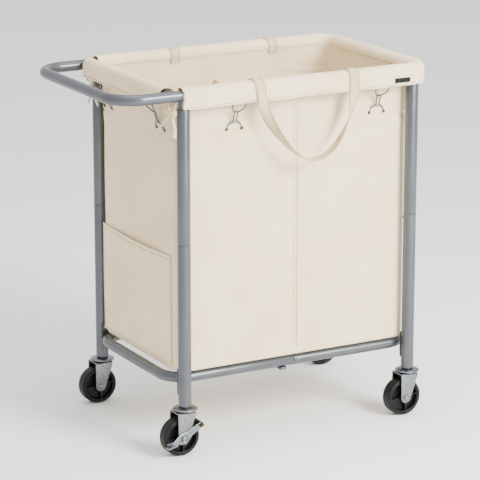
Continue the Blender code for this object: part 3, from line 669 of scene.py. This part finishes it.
def bag_outline(count):
    """Places, outward normals and distances round the bag from the middle of the front, and its girth."""
    left, right = (BAG_LEFT, BAG_Y), (BAG_RIGHT, BAG_Y)
    turns = (MIDDLE_X, -BAG_Y), (right[0], -BAG_Y), right, left, (left[0], -BAG_Y), (MIDDLE_X, -BAG_Y)
    straight = filleted([(x, y, 0) for x, y in turns], BAG_CORNER, 10)
    lengths = np.cumsum([0] + [(b - a).length for a, b in zip(straight, straight[1:])])
    stations = np.linspace(0, lengths[-1], count, endpoint=False)
    xs = np.interp(stations, lengths, [p.x for p in straight])
    ys = np.interp(stations, lengths, [p.y for p in straight])
    dx, dy = np.roll(xs, -1) - np.roll(xs, 1), np.roll(ys, -1) - np.roll(ys, 1)
    size = np.hypot(dx, dy)
    return xs, ys, dy / size, -dx / size, stations, lengths[-1]


def near(value, spread):
    return math.exp(-((value / spread) ** 2))


def cloth_swell(x, y, z):
    """How far the wall stands out from its flat panel at a point, in metres."""
    height = (z - BAG_LOW) / (BAG_HIGH - BAG_LOW)
    belly = math.sin(math.pi * min(max(height, 0), 1))
    long_side = abs(y) > BAG_Y - 0.002
    if long_side:
        mid = (x - MIDDLE_X) / 0.28
        bay = abs(math.sin(math.pi * min(abs(mid), 1)))
        swell = 0.0035 * belly * bay - 0.0022 * near(x - MIDDLE_X, 0.016) * min(1, height * 6)
    else:
        swell = 0.003 * belly * max(0, 1 - (y / 0.19) ** 2)
    swell += 0.0012 * belly * noise.noise((x * 7, y * 7, z * 5))
    swell += 0.0006 * noise.noise((x * 26 + 9, y * 26, z * 9))
    for hx, hy, nx, ny in HOOKS.values():
        along, across = (x - hx, abs(y - hy)) if ny else (y - hy, abs(x - hx))
        if across > 0.03 or abs(along) > 0.16:
            continue
        rise = z - EYELET_Z
        swell += 0.0042 * near(abs(along) - EYELET_GAP, 0.022) * near(rise, 0.022)
        swell -= 0.0034 * (near(along, 0.07) * near(rise + 0.0095 + 0.05 * abs(along), 0.0044))
        swell += 0.0016 * near(along, 0.07) * near(rise + 0.021 + 0.10 * abs(along), 0.008)
        swell += 0.0007 * math.sin(rise * 320 + along * 55) * near(along, 0.07) * near(rise, 0.045)
    hem = max(0, (z - 0.79) / 0.04)
    swell += 0.0006 * hem * noise.noise((x * 60, y * 60, 3.0))
    return swell


def bag_point(x, y, nx, ny, z):
    flare = 0.006 * max(0.0, min(1.0, (z - 0.700) / 0.115)) ** 1.3
    base_x = x + flare * nx
    swell = cloth_swell(x, y, z)
    guard = abs(abs(x - MIDDLE_X) - 0.300)
    if guard < 0.03:  # the posts stand 3 mm off the wall
        swell = min(swell, 0.0012 + 0.006 * max(0, guard - 0.018) / 0.012)
    foot = max(0.0, 1 - (z - BAG_LOW) / 0.008)
    inset = 0.0045 * (1 - math.sqrt(max(0.0, 1 - foot * foot)))
    return Vector((base_x + nx * (swell - inset), y + ny * (swell - inset), z))


AROUND, UP = 336, 50
xs, ys, nxs, nys, stations, girth = bag_outline(AROUND)
foot_steps = [BAG_LOW + 0.008 * (1 - math.cos(math.pi / 2 * i / 4)) for i in range(5)]
heights = foot_steps + list(np.linspace(BAG_LOW + 0.012, 0.690, UP))
heights += list(np.linspace(0.6922, 0.800, UP))  # close rows at the hooks, for the creases
heights += list(np.linspace(0.805, BAG_HIGH, 8))
rows, uv = [], []
for z in heights:
    rows.append([bag_point(x, y, nx, ny, z) for x, y, nx, ny in zip(xs, ys, nxs, nys)])
    uv.append([(s, z) for s in stations])
base_rows, base_uv = [], []
centre = Vector((MIDDLE_X, 0, BAG_LOW))
for t in (0.02, 0.25, 0.5, 0.75, 0.92):
    base_rows.append([centre.lerp(Vector((p.x, p.y, BAG_LOW)), t) for p in rows[0]])
    base_uv.append([(p.x, p.y) for p in base_rows[-1]])
bag_mesh = grid_mesh(base_rows + rows, wrap_columns=True, uv=base_uv + uv)
bm = bmesh.new()
bm.from_mesh(bag_mesh)
bm.verts.ensure_lookup_table()
bm.faces.new([bm.verts[i] for i in range(AROUND)][::-1])
bm.to_mesh(bag_mesh)
bm.free()


def thickened(mesh, thickness, offset=-1.0):
    """Gives a sheet its thickness with an applied Solidify."""
    holder = bpy.data.objects.new("thick", mesh)
    bpy.context.scene.collection.objects.link(holder)
    step = holder.modifiers.new("thickness", "SOLIDIFY")
    step.thickness = thickness
    step.offset = offset
    graph = bpy.context.evaluated_depsgraph_get()
    made = bpy.data.meshes.new_from_object(holder.evaluated_get(graph))
    bpy.data.objects.remove(holder, do_unlink=True)
    return made


mesh = thickened(bag_mesh, CLOTH_T)
bag_shell = piece("bag_cloth", mesh, canvas, stands_for=["bag_shell"], crease=60)


# Divider and floor: one cloth panel sewn across the middle from wall to wall, its top edge a
# little slack, and a cloth-covered board laid in each half to keep the bottom square.
DIVIDER_Y, DIVIDER_LOW = BAG_Y - 0.0026, 0.1935


def divider_mesh():
    rows, uv = [], []
    for i in range(61):
        t = i / 60
        row = []
        for j in range(41):
            u = 2 * j / 40 - 1
            y = u * DIVIDER_Y
            top = 0.770 - 0.010 * (1 - u * u) + 0.004 * u**8
            z = DIVIDER_LOW + (top - DIVIDER_LOW) * t
            bend = 0.35 * math.sin(3.1 * t + 2.2 * u) + t * t * math.sin(2.6 * u + 0.6)
            sway = 0.0035 * (1 - u * u) * bend
            sway += 0.001 * (1 - u * u) * noise.noise((0, y * 18, z * 10))
            row.append(Vector((MIDDLE_X + sway, y, z)))
        rows.append(row)
        uv.append([(p.y, p.z) for p in row])
    return grid_mesh(rows, uv=uv)


panel = divider_mesh()
mesh = thickened(panel, CLOTH_T, 0)
divider = piece("divider_cloth", mesh, canvas, stands_for=["bag_divider"], crease=60)


def lay_uv(mesh, flat_place):
    """Gives a mesh the cloth map, by a function from a point to its place on the cloth."""
    layer = mesh.uv_layers.new(name="cloth")
    for loop in mesh.loops:
        layer.data[loop.index].uv = flat_place(mesh.vertices[loop.vertex_index].co)


for side in ("left", "right"):
    board = softened("bottom_board_" + side, "covered_board_" + side, canvas, 0.0009)
    lay_uv(board.data, lambda p: (p.x, p.y + p.z))


# Rim sleeves: the bag's cloth turned over the rails and hemmed, with a short flap outside. It
# lies loosely round the tube, so it puckers along its hems and ends in open mouths by the handle.
SLEEVE_START = -0.250


def sleeve_section(flap_z, steps=30):
    """(outward, up) points over the rail, from the flap's edge to the hem inside the bag."""
    points = [(0.0186, flap_z - RAIL_Z)]
    for i in range(1, 5):
        points.append((0.0186 - 0.0002 * i, (flap_z - RAIL_Z) * (1 - i / 5)))
    for i in range(steps + 1):
        a = math.pi * i / steps
        wide = 0.0178 if a < math.pi / 2 else 0.0206
        points.append((wide * math.cos(a), 0.0181 * math.sin(a) ** 0.9 if 0 < i < steps else 0.0))
    for drop in (0.0015, 0.003, 0.0045, 0.006):
        points.append((-0.0206, -drop))
    return points


def sleeve_mesh(path, flap_z, start_slant, end_slant, seed):
    """Sweeps the section along a level path; a slant draws the mouth back towards the flap."""
    path = [Vector(p) for p in path]
    path_x, path_y = [p.x for p in path], [p.y for p in path]
    lengths = np.cumsum([0] + [(b - a).length for a, b in zip(path, path[1:])])
    count = int(lengths[-1] / 0.005)
    section = sleeve_section(flap_z)
    arc = np.cumsum([0] + [math.dist(a, b) for a, b in zip(section, section[1:])])
    rows, uv = [], []
    for i in range(count + 1):
        s = lengths[-1] * i / count
        row = []
        for k, (out, up) in enumerate(section):
            lean = max(0.0, min(1.0, 0.5 - up / 0.04))
            shift = start_slant * lean * max(0, 1 - s / 0.08)
            shift -= end_slant * lean * max(0, 1 - (lengths[-1] - s) / 0.08)
            here = s - shift
            ends = [here, min(here + 0.003, lengths[-1]), max(min(here, lengths[-1]) - 0.003, 0)]
            x, ahead_x, behind_x = np.interp(ends, lengths, path_x)
            y, ahead_y, behind_y = np.interp(ends, lengths, path_y)
            dx, dy = ahead_x - behind_x, ahead_y - behind_y
            size = math.hypot(dx, dy) or 1
            beyond = min(here, 0) + max(here - lengths[-1], 0)
            x, y = x + dx / size * beyond, y + dy / size * beyond
            hem = near((arc[-1] - arc[k]), 0.010) + near(arc[k], 0.012)
            pucker = 0.0005 * noise.noise((s * 90 + seed, arc[k] * 60, seed)) * (0.5 + hem)
            pucker += 0.0008 * noise.noise((s * 14 + seed, arc[k] * 30, 1.7))
            wave = 0.0012 * noise.noise((s * 22 + seed, 5.0, 1.0)) * near(arc[k], 0.02)
            swell = 1 + max(pucker, -0.0006) / 0.0186
            x, y = x + dy / size * out * swell, y - dx / size * out * swell
            row.append(Vector((x, y, RAIL_Z + up * swell + wave)))
        rows.append(row)
        uv.append([(s, a) for a in arc])
    return grid_mesh(rows, uv=uv), lengths[-1], arc[-1]


long_path = u_path(SLEEVE_START, 0.387, POST_Y, RAIL_Z, 0.046)
short_end = POST_Y - 0.0195
short_path = [(RIM_BAR_X, short_end, RAIL_Z), (RIM_BAR_X, 0, RAIL_Z), (RIM_BAR_X, -short_end, RAIL_Z)]
for name, cad, path, flap_z, slants, seed in (
    ("rim_sleeve_cloth", "rim_sleeve", long_path, 0.8075, (0.014, 0.012), 0.0),
    ("short_sleeve_cloth", "rim_sleeve_left", short_path, 0.8125, (-0.004, -0.004), 40.0),
):
    mesh, length, width = sleeve_mesh(path, flap_z, *slants, seed)
    sleeve = piece(name, thickened(mesh, CLOTH_T, 0), canvas, stands_for=[cad], crease=70)


# Side pocket: one hemmed panel sewn flat to the wall by the handle along its sides and bottom.
# Its top edge hangs a little slack and stands a few millimetres off the wall.
POCKET_Y = (-0.168, 0.180)
POCKET_LOW, POCKET_TOP = 0.1965, 0.459


def pocket_point(u, v, lift=0.0):
    """u runs from the front edge to the rear one, v from the bottom to the hem."""
    y = POCKET_Y[0] + (POCKET_Y[1] - POCKET_Y[0]) * u
    slack = math.sin(math.pi * u) ** 0.7 if 0 < u < 1 else 0.0
    z = POCKET_LOW + (POCKET_TOP - POCKET_LOW - 0.004 * slack) * v
    out = 0.0016 + 0.0052 * slack * v**1.6 + 0.0012 * slack * math.sin(math.pi * v)
    out += 0.0009 * slack * noise.noise((y * 14, z * 8, 4.0))
    wall = bag_point(BAG_LEFT, max(-0.163, min(0.163, y)), -1, 0, z)
    return Vector((wall.x - out - lift, y, z))


rows = [[pocket_point(i / 80, j / 60) for i in range(81)] for j in range(61)]
pocket_sheet = grid_mesh(rows, uv=[[(p.y, p.z) for p in row] for row in rows])
mesh = thickened(pocket_sheet, CLOTH_T, 0)
pocket = piece("pocket_cloth", mesh, canvas, stands_for=["side_pocket"], crease=60)


# Webbing handles: flat woven tape sewn inside the rim, laid over it and hung in a loop. The tape
# lies flat on the rim and turns on edge at the bottom of the loop. Ribs 1.8 mm apart slant to and
# fro every 3.1 mm, which gives the herringbone.
def webbing():
    sheen = {"Sheen_Weight": 0.1, "Sheen_Roughness": 0.5}
    made, tree, shader = finish("herringbone_webbing", "#D9C49A", 0.85, **sheen)
    uv = node(tree, "ShaderNodeUVMap", uv_map="cloth").outputs["UV"]
    split = node(tree, "ShaderNodeSeparateXYZ", {"Vector": uv})
    fold = node(tree, "ShaderNodeMath", {0: split.outputs["X"], 1: 0.0031}, operation="PINGPONG")
    slant = node(tree, "ShaderNodeMath", {0: split.outputs["Y"], 1: fold.outputs[0]}, operation="ADD")
    lines = node(tree, "ShaderNodeCombineXYZ", {"X": slant.outputs[0]})
    rib = node(tree, "ShaderNodeTexWave", {"Vector": lines.outputs["Vector"], "Scale": 560 * WAVES_PER_M})
    place = node(tree, "ShaderNodeTexCoord").outputs["Object"]
    cloud = node(tree, "ShaderNodeTexNoise", {"Vector": place, "Scale": 40.0, "Detail": 4.0})
    blend = node(tree, "ShaderNodeMath", {0: rib.outputs["Fac"], 1: 0.35}, operation="MULTIPLY")
    total = node(tree, "ShaderNodeMath", {0: blend.outputs[0], 1: cloud.outputs["Fac"]}, operation="ADD")
    shade = node(tree, "ShaderNodeValToRGB", {"Fac": total.outputs[0]})
    for stop, tone, position in zip(shade.color_ramp.elements, ("#C3AB80", "#DDC8A0"), (0.35, 0.95)):
        stop.color, stop.position = srgb(tone), position
    tree.links.new(shade.outputs["Color"], shader.inputs["Base Color"])
    grain = node(tree, "ShaderNodeBump", {"Height": rib.outputs["Fac"], "Strength": 0.5, "Distance": 0.0004})
    tree.links.new(grain.outputs["Normal"], shader.inputs["Normal"])
    return made


tape = webbing()
TAPE_W, TAPE_T = 0.025, 0.0015
OVER_R = 0.0203  # from the rail's axis to the tape's middle where it crosses the sleeve
HANG = [  # (share of the way across, distance out, height, quarter turns of the tape) down the loop
    (0.004, 0.0005, 0.802, 0),
    (0.060, 0.003, 0.765, 0.45),
    (0.180, 0.007, 0.722, 0.8),
    (0.350, 0.011, 0.680, 1.0),
    (0.540, 0.012, 0.662, 1.0),
    (0.730, 0.010, 0.680, 1.0),
    (0.880, 0.006, 0.722, 0.8),
    (0.965, 0.002, 0.765, 0.45),
    (0.998, 0.0005, 0.802, 0),
]


def tape_curve(legs, side):
    """(place, face direction) along a handle, from its front or rear sewn end to the other."""
    wall = BAG_Y - 0.0042

    def over(x):
        lean = 0.010 if x == legs[0] else -0.003
        run = [((x - lean, side * (wall + 0.0008), 0.822), (0, -side, 0))]
        for i in range(9):
            a = math.pi * i / 8
            away = POST_Y - wall if i < 4 else OVER_R
            y, z = side * (POST_Y - away * math.cos(a)), RAIL_Z + OVER_R * math.sin(a)
            run.append(((x - lean * (1 - 0.55 * i / 8), y, z), (0, -side * math.cos(a), math.sin(a))))
        return run

    span = legs[1] - legs[0]
    outer = POST_Y + OVER_R
    loop = []
    for t, y, z, turn in HANG:
        out = Vector((math.copysign(1, t - 0.54), 0, -0.5 if turn > 0.7 else 0)).normalized()
        out = Vector((0, 0, -1)) if t == 0.540 else out
        face = Vector((0, side * math.cos(turn * math.pi / 2), 0)) + out * math.sin(turn * math.pi / 2)
        loop.append(((legs[0] + span * t, side * (outer + y), z), tuple(face)))
    knots = over(legs[0]) + loop + over(legs[1])[::-1]
    places = smooth_path([p for p, n in knots], 8)
    faces = smooth_path([n for p, n in knots], 8)
    return [(Vector(p), Vector(n).normalized()) for p, n in zip(places, faces)]


def tape_point(curve, i, across, lift=0.0):
    place, face = curve[i]
    along = (curve[min(i + 1, len(curve) - 1)][0] - curve[max(i - 1, 0)][0]).normalized()
    side = along.cross(face).normalized()
    return place + side * across + side.cross(along) * lift, along, side.cross(along)


def tape_mesh(curve):
    rows, uv = [], []
    run = 0.0
    for i in range(len(curve)):
        if i:
            run += (curve[i][0] - curve[i - 1][0]).length
        across = [TAPE_W * (k / 8 - 0.5) for k in range(9)]
        rows.append([tape_point(curve, i, a, 0.0004 * math.cos(math.pi * a / TAPE_W))[0] for a in across])
        uv.append([(a, run) for a in across])
    return grid_mesh(rows, uv=uv), run


HANDLES = {"front_handle": ((-0.054, 0.185), -1), "rear_handle": ((-0.041, 0.214), 1)}
for cad, (legs, side) in HANDLES.items():
    mesh, run = tape_mesh(tape_curve(legs, side))
    mesh = thickened(mesh, TAPE_T, 0)
    handle = piece(cad + "_tape", mesh, tape, stands_for=[cad], crease=60)


# Stitching: lockstitch in a matt thread, 4 mm to the stitch, in rows along each hem and in
# a double row down the middle of the long sides, where the divider is sewn in. The thread's dark
# brown is painted shade of the dips along the seams.
def thread_bead(tree, start):
    ball = node(tree, "GeometryNodeMeshUVSphere", {"Segments": 6, "Rings": 5, "Radius": 0.5}).outputs["Mesh"]
    out = start.outputs
    return scaled(tree, ball, out["Thread"], out["Thread"], out["Stitch"])


stitch_tree = scatter_tree("lockstitch", ["Thread", "Stitch"], thread_bead)
# The thread's dark brown is painted shade of the seam dips; its noise is a random tone along the twist.
THREAD_TWIST = {"Scale": 500.0, "Detail": 2.0}
thread = mottled(
    "thread_with_painted_seam_shade", "#5F4C2D", 0.85, 0.0, THREAD_TWIST, ("#4C3B22", "#75613D"), Sheen_Weight=0.2
)
STITCH_PITCH = 0.0042
LONG_PITCH = 0.0066  # one row of the double seam has longer, thicker stitches


def stitches_on(line, pitch=STITCH_PITCH):
    """Stitch points at an even pitch along a list of (place, outward) pairs."""
    places = [Vector(p) for p, n in line]
    lengths = np.cumsum([0] + [(b - a).length for a, b in zip(places, places[1:])])
    result = []
    for s in np.arange(pitch / 2, lengths[-1], pitch):
        i = min(int(np.searchsorted(lengths, s)) - 1, len(places) - 2)
        t = (s - lengths[i]) / max(lengths[i + 1] - lengths[i], 1e-9)
        along = (places[i + 1] - places[i]).normalized()
        result.append((places[i].lerp(places[i + 1], t), along, Vector(line[i][1])))
    return result


lines = []
divider_points = []
for side in (-1, 1):
    for x, pitch in ((MIDDLE_X - 0.0045, STITCH_PITCH), (MIDDLE_X + 0.0045, LONG_PITCH)):
        run = []
        for z in np.linspace(0.206, 0.782, 180):
            p = bag_point(x, side * BAG_Y, 0, side, z)
            run.append((p + Vector((0, side * 0.0002, 0)), (0, side, 0)))
        if pitch == LONG_PITCH:
            divider_points += stitches_on(run, pitch)
        else:
            lines.append(run)


def along_sleeve(path, out, up):
    """A line of (place, outward) pairs at a fixed offset from a rail's axis."""
    path = [Vector(p) for p in path]
    line = []
    for i, p in enumerate(path):
        along = (path[min(i + 1, len(path) - 1)] - path[max(i - 1, 0)]).normalized()
        side = Vector((along.y, -along.x, 0))
        line.append((p + side * out + Vector((0, 0, up)), side * math.copysign(1, out)))
    return line


flap_path = u_path(SLEEVE_START - 0.008, 0.387, POST_Y, RAIL_Z, 0.046)
lines.append(along_sleeve(flap_path, 0.0195, -0.0245))
lines.append(along_sleeve(short_path, 0.0195, -0.0195))
lines.append(along_sleeve(long_path, -0.0215, -0.003))
lines.append(along_sleeve(short_path, -0.0215, -0.003))
for u in (0.012, 0.988):
    lines.append([(pocket_point(u, v, 0.0008), (-1, 0, 0)) for v in np.linspace(0.01, 0.99, 90)])
for v in (0.965, 0.02):
    lines.append([(pocket_point(u, v, 0.0009), (-1, 0, 0)) for u in np.linspace(0.012, 0.988, 90)])
for legs, side in HANDLES.values():
    curve = tape_curve(legs, side)
    for edge in (-0.0105, 0.0105):
        for lift in (0.0013, -0.0006):
            run = [tape_point(curve, i, edge, lift) for i in range(len(curve))]
            lines.append([(p, n if lift > 0 else -n) for p, along, n in run])
points = [s for line in lines for s in stitches_on(line)]
sizes = {"Thread": 0.0012, "Stitch": 0.0032}
scattered("seam_stitches", stitch_tree, points, sizes, thread)
sizes = {"Thread": 0.0021, "Stitch": 0.005}
scattered("divider_seam_stitches", stitch_tree, divider_points, sizes, thread)


# Flap hooks: two bent wire bows joined by a flat wire link, nickel-plated. The upper bow hangs
# under the flap and the lower one pulls on two eyelets, which keeps the bag's walls tight. The
# plate is mirror-like, and the marks of drawing the wire break its shine into dark and light.
WIRE_DRAW = {"Scale": 400.0, "Detail": 3.0}
nickel = mottled("nickel_plated_wire", "#85888B", 0.22, 1.0, WIRE_DRAW, ("#3C3F43", "#8E9194"))
WIRE_R = 0.0017


def wire_mesh(parts):
    """One mesh of separate round wires; each part is (points, closed)."""
    bm = bmesh.new()
    for path, closed in parts:
        rings = rings_along(path, [WIRE_R] * len(path), 10, closed)
        mesh = grid_mesh(rings, wrap_rows=closed, wrap_columns=True, caps=not closed)
        bm.from_mesh(mesh)
        bpy.data.meshes.remove(mesh)
    made = bpy.data.meshes.new("wires")
    bm.to_mesh(made)
    bm.free()
    return outward(made)


def bow(half, steps=6):
    whole = half + [(-a, o, z) for a, o, z in reversed(half[:-1])]
    return smooth_path(whole, steps)


def rounded_loop(a, low, high, radius=0.0026, steps=5):
    """A closed rectangular wire link, a to each side, from low to high (out, z)."""
    (o0, z0), (o1, z1) = low, high
    tall = math.hypot(o1 - o0, z1 - z0)
    points = []
    for ca, cb, start in ((a, tall, 0), (-a, tall, 90), (-a, 0, 180), (a, 0, 270)):
        for i in range(steps + 1):
            turn = math.radians(start + 90 * i / steps)
            pa = ca - math.copysign(radius, ca) + radius * math.cos(turn)
            pb = (cb - radius if cb else radius) + radius * math.sin(turn)
            points.append((pa, o0 + (o1 - o0) * pb / tall, z0 + (z1 - z0) * pb / tall))
    return points


low_half = [(-0.019, 0.0015, 0.7452), (-0.0185, 0.0042, 0.7475), (-0.014, 0.0066, 0.757), (0, 0.0092, 0.7635)]
high_half = [(-0.0175, 0.0315, 0.806), (-0.0165, 0.0285, 0.7985), (-0.011, 0.022, 0.790), (0, 0.016, 0.7845)]
link = rounded_loop(0.0042, (0.0086, 0.7610), (0.0166, 0.7868))
eyelets = []
for name, (x, y, nx, ny) in HOOKS.items():
    out, along = Vector((nx, ny, 0)), Vector((-ny, nx, 0))
    origin = Vector((x + 0.002 * nx, y, 0))
    wires = []
    for points, closed in ((bow(low_half), False), (bow(high_half), False), (link, True)):
        wires.append(([origin + along * a + out * o + Vector((0, 0, z)) for a, o, z in points], closed))
    hook = "flap_hook_" + name
    piece("wire_hook_" + name, wire_mesh(wires), nickel, stands_for=[hook])
    for a in (-EYELET_GAP, EYELET_GAP):
        spot = origin + along * a
        wall = bag_point(x if nx else spot.x, spot.y if nx else y, nx, ny, EYELET_Z)
        eyelets.append((wall + out * 0.0003, tuple(out), (0, 0, 1)))


def eyelet_ring(tree, start):
    circles = []
    for resolution, size in ((24, "Hole radius"), (8, "Rim radius")):
        links = {"Resolution": resolution, "Radius": start.outputs[size]}
        circles.append(node(tree, "GeometryNodeCurvePrimitiveCircle", links).outputs["Curve"])
    links = {"Curve": circles[0], "Profile Curve": circles[1]}
    return node(tree, "GeometryNodeCurveToMesh", links).outputs["Mesh"]


def eyelet_hole(tree, start):
    disc = {"Vertices": 20, "Radius": start.outputs["Hole radius"], "Depth": 0.0004}
    return node(tree, "GeometryNodeMeshCylinder", disc).outputs["Mesh"]


eyelet_tree = scatter_tree("eyelet_rings", ["Hole radius", "Rim radius"], eyelet_ring)
hole_tree = scatter_tree("eyelet_hole_shade_discs", ["Hole radius"], eyelet_hole)
# Each eyelet's hole is covered by a dark disc just proud of the wall: painted shade where the open hole would
# be.
HOLE_SHADE_TONES = ("#3E3323", "#6B5A42")
hole_shade = mottled("painted_shade_in_eyelet_hole", "#5A4A35", 0.95, 0.0, {"Scale": 900.0}, HOLE_SHADE_TONES)
sizes = {"Hole radius": 0.0032, "Rim radius": 0.001}
scattered("eyelet_rings", eyelet_tree, eyelets, sizes, brass)
scattered("eyelet_hole_shade_discs", hole_tree, eyelets, {"Hole radius": 0.0029}, hole_shade)


# Corner ties: a narrow cloth tape at each end of the long sleeve, knotted in a small bow round
# the post head. It keeps the sleeve from creeping along the rail.
TIE_W = 0.0065


def ribbon_mesh(strips):
    bm = bmesh.new()
    layer = bm.loops.layers.uv.new("cloth")
    for knots in strips:
        places = smooth_path([k[0] for k in knots], 8)
        faces = smooth_path([k[1] for k in knots], 8)
        rows = []
        for i, (p, n) in enumerate(zip(places, faces)):
            ahead, behind = places[min(i + 1, len(places) - 1)], places[max(i - 1, 0)]
            side = Vector(ahead - behind).cross(Vector(n)).normalized()
            rows.append([bm.verts.new(Vector(p) + side * TIE_W * (k / 4 - 0.5)) for k in range(5)])
        for i, (a, b) in enumerate(zip(rows, rows[1:])):
            for k in range(4):
                face = bm.faces.new((a[k], a[k + 1], b[k + 1], b[k]))
                for loop, spot in zip(face.loops, ((k, i), (k + 1, i), (k + 1, i + 1), (k, i + 1))):
                    loop[layer].uv = (spot[0] * TIE_W / 4, spot[1] * 0.002)
    made = bpy.data.meshes.new("ribbon")
    bm.to_mesh(made)
    bm.free()
    return made


for name, side in (("front", -1), ("rear", 1)):
    x, y, z = -0.2675, side * 0.2065, 0.799
    away, left = (-0.6, side * 0.8, 0), (-1, 0, 0)
    above, below = (-0.5, side * 0.5, 0.7), (-0.5, side * 0.5, -0.7)
    strips = []
    for strip in (  # two tails, two bow loops and the end that goes up over the sleeve
        [
            (0, 0, 0, away),
            (-0.004, -0.010, -0.012, away),
            (-0.009, -0.036, -0.036, left),
            (-0.010, -0.055, -0.050, (-1, 0, 0.2)),
        ],
        [
            (0, 0, 0, away),
            (-0.001, 0.006, -0.014, away),
            (0.001, 0.011, -0.036, away),
            (-0.001, 0.014, -0.057, (-0.4, side * 0.9, 0)),
        ],
        [
            (0, 0, 0, away),
            (-0.006, -0.010, 0.009, above),
            (-0.010, -0.021, 0.003, left),
            (-0.006, -0.012, -0.006, below),
            (0, 0, -0.001, away),
        ],
        [
            (0, 0, 0, away),
            (-0.001, 0.010, 0.008, above),
            (-0.002, 0.019, 0.001, away),
            (-0.001, 0.011, -0.007, below),
            (0, 0, -0.001, away),
        ],
        [(0, 0, 0.001, away), (0.006, 0.002, 0.010, (0, side, 0.3)), (0.010, 0.004, 0.020, (0, side, 0))],
    ):
        strips.append([((x + dx, y + side * dy, z + dz), face) for dx, dy, dz, face in strip])
    ribbon = ribbon_mesh(strips)
    tie = piece("corner_tie_" + name, thickened(ribbon, 0.0007, 0), canvas, crease=60)
    knot = [(0, -0.0042), (0.0026, -0.004), (0.0042, -0.002), (0.0046, 0)]
    knot += [(r, -h) for r, h in knot[2::-1]]
    mesh = turned_mesh(knot, (x, y, z), "Y", 20)
    lay_uv(mesh, lambda p: (p.x + p.y, p.z))
    piece("tie_knot_" + name, mesh, canvas, crease=60)


# Label: a blank black tag of woven satin, laid on the front flap and sewn down at its ends.
# Fine ribs run along it, drawn as paler bands in its colour: a painted sheen on the ribs.
satin, satin_tree, satin_shader = finish("black_woven_satin", "#0C0C0E", 0.6, Specular_IOR_Level=0.2)
satin_place = node(satin_tree, "ShaderNodeTexCoord").outputs["Object"]
ribs = {"Vector": satin_place, "Scale": 900 * WAVES_PER_M}
# The paler bands along the ribs are painted sheen.
satin_rib_sheen_wave = node(satin_tree, "ShaderNodeTexWave", ribs, bands_direction="Z")
satin_rib_sheen_ramp = node(satin_tree, "ShaderNodeValToRGB", {"Fac": satin_rib_sheen_wave.outputs["Fac"]})
for stop, tone in zip(satin_rib_sheen_ramp.color_ramp.elements, ("#050506", "#101012")):
    stop.color = srgb(tone)
satin_tree.links.new(satin_rib_sheen_ramp.outputs["Color"], satin_shader.inputs["Base Color"])
LABEL_X, LABEL_Y, LABEL_Z = (0.296, 0.337), -0.2362, (0.815, 0.826)
rows = []
for j in range(9):
    z = LABEL_Z[0] + (LABEL_Z[1] - LABEL_Z[0]) * j / 8
    row = []
    for i in range(25):
        x = LABEL_X[0] + (LABEL_X[1] - LABEL_X[0]) * i / 24
        rise = 0.0004 * math.sin(math.pi * i / 24) * math.sin(math.pi * j / 8)
        row.append(Vector((x, LABEL_Y - rise, z)))
    rows.append(row)
mesh = thickened(grid_mesh(rows), 0.0007, 0)
label = piece("blank_label", mesh, satin, stands_for=["rim_label"], crease=60)
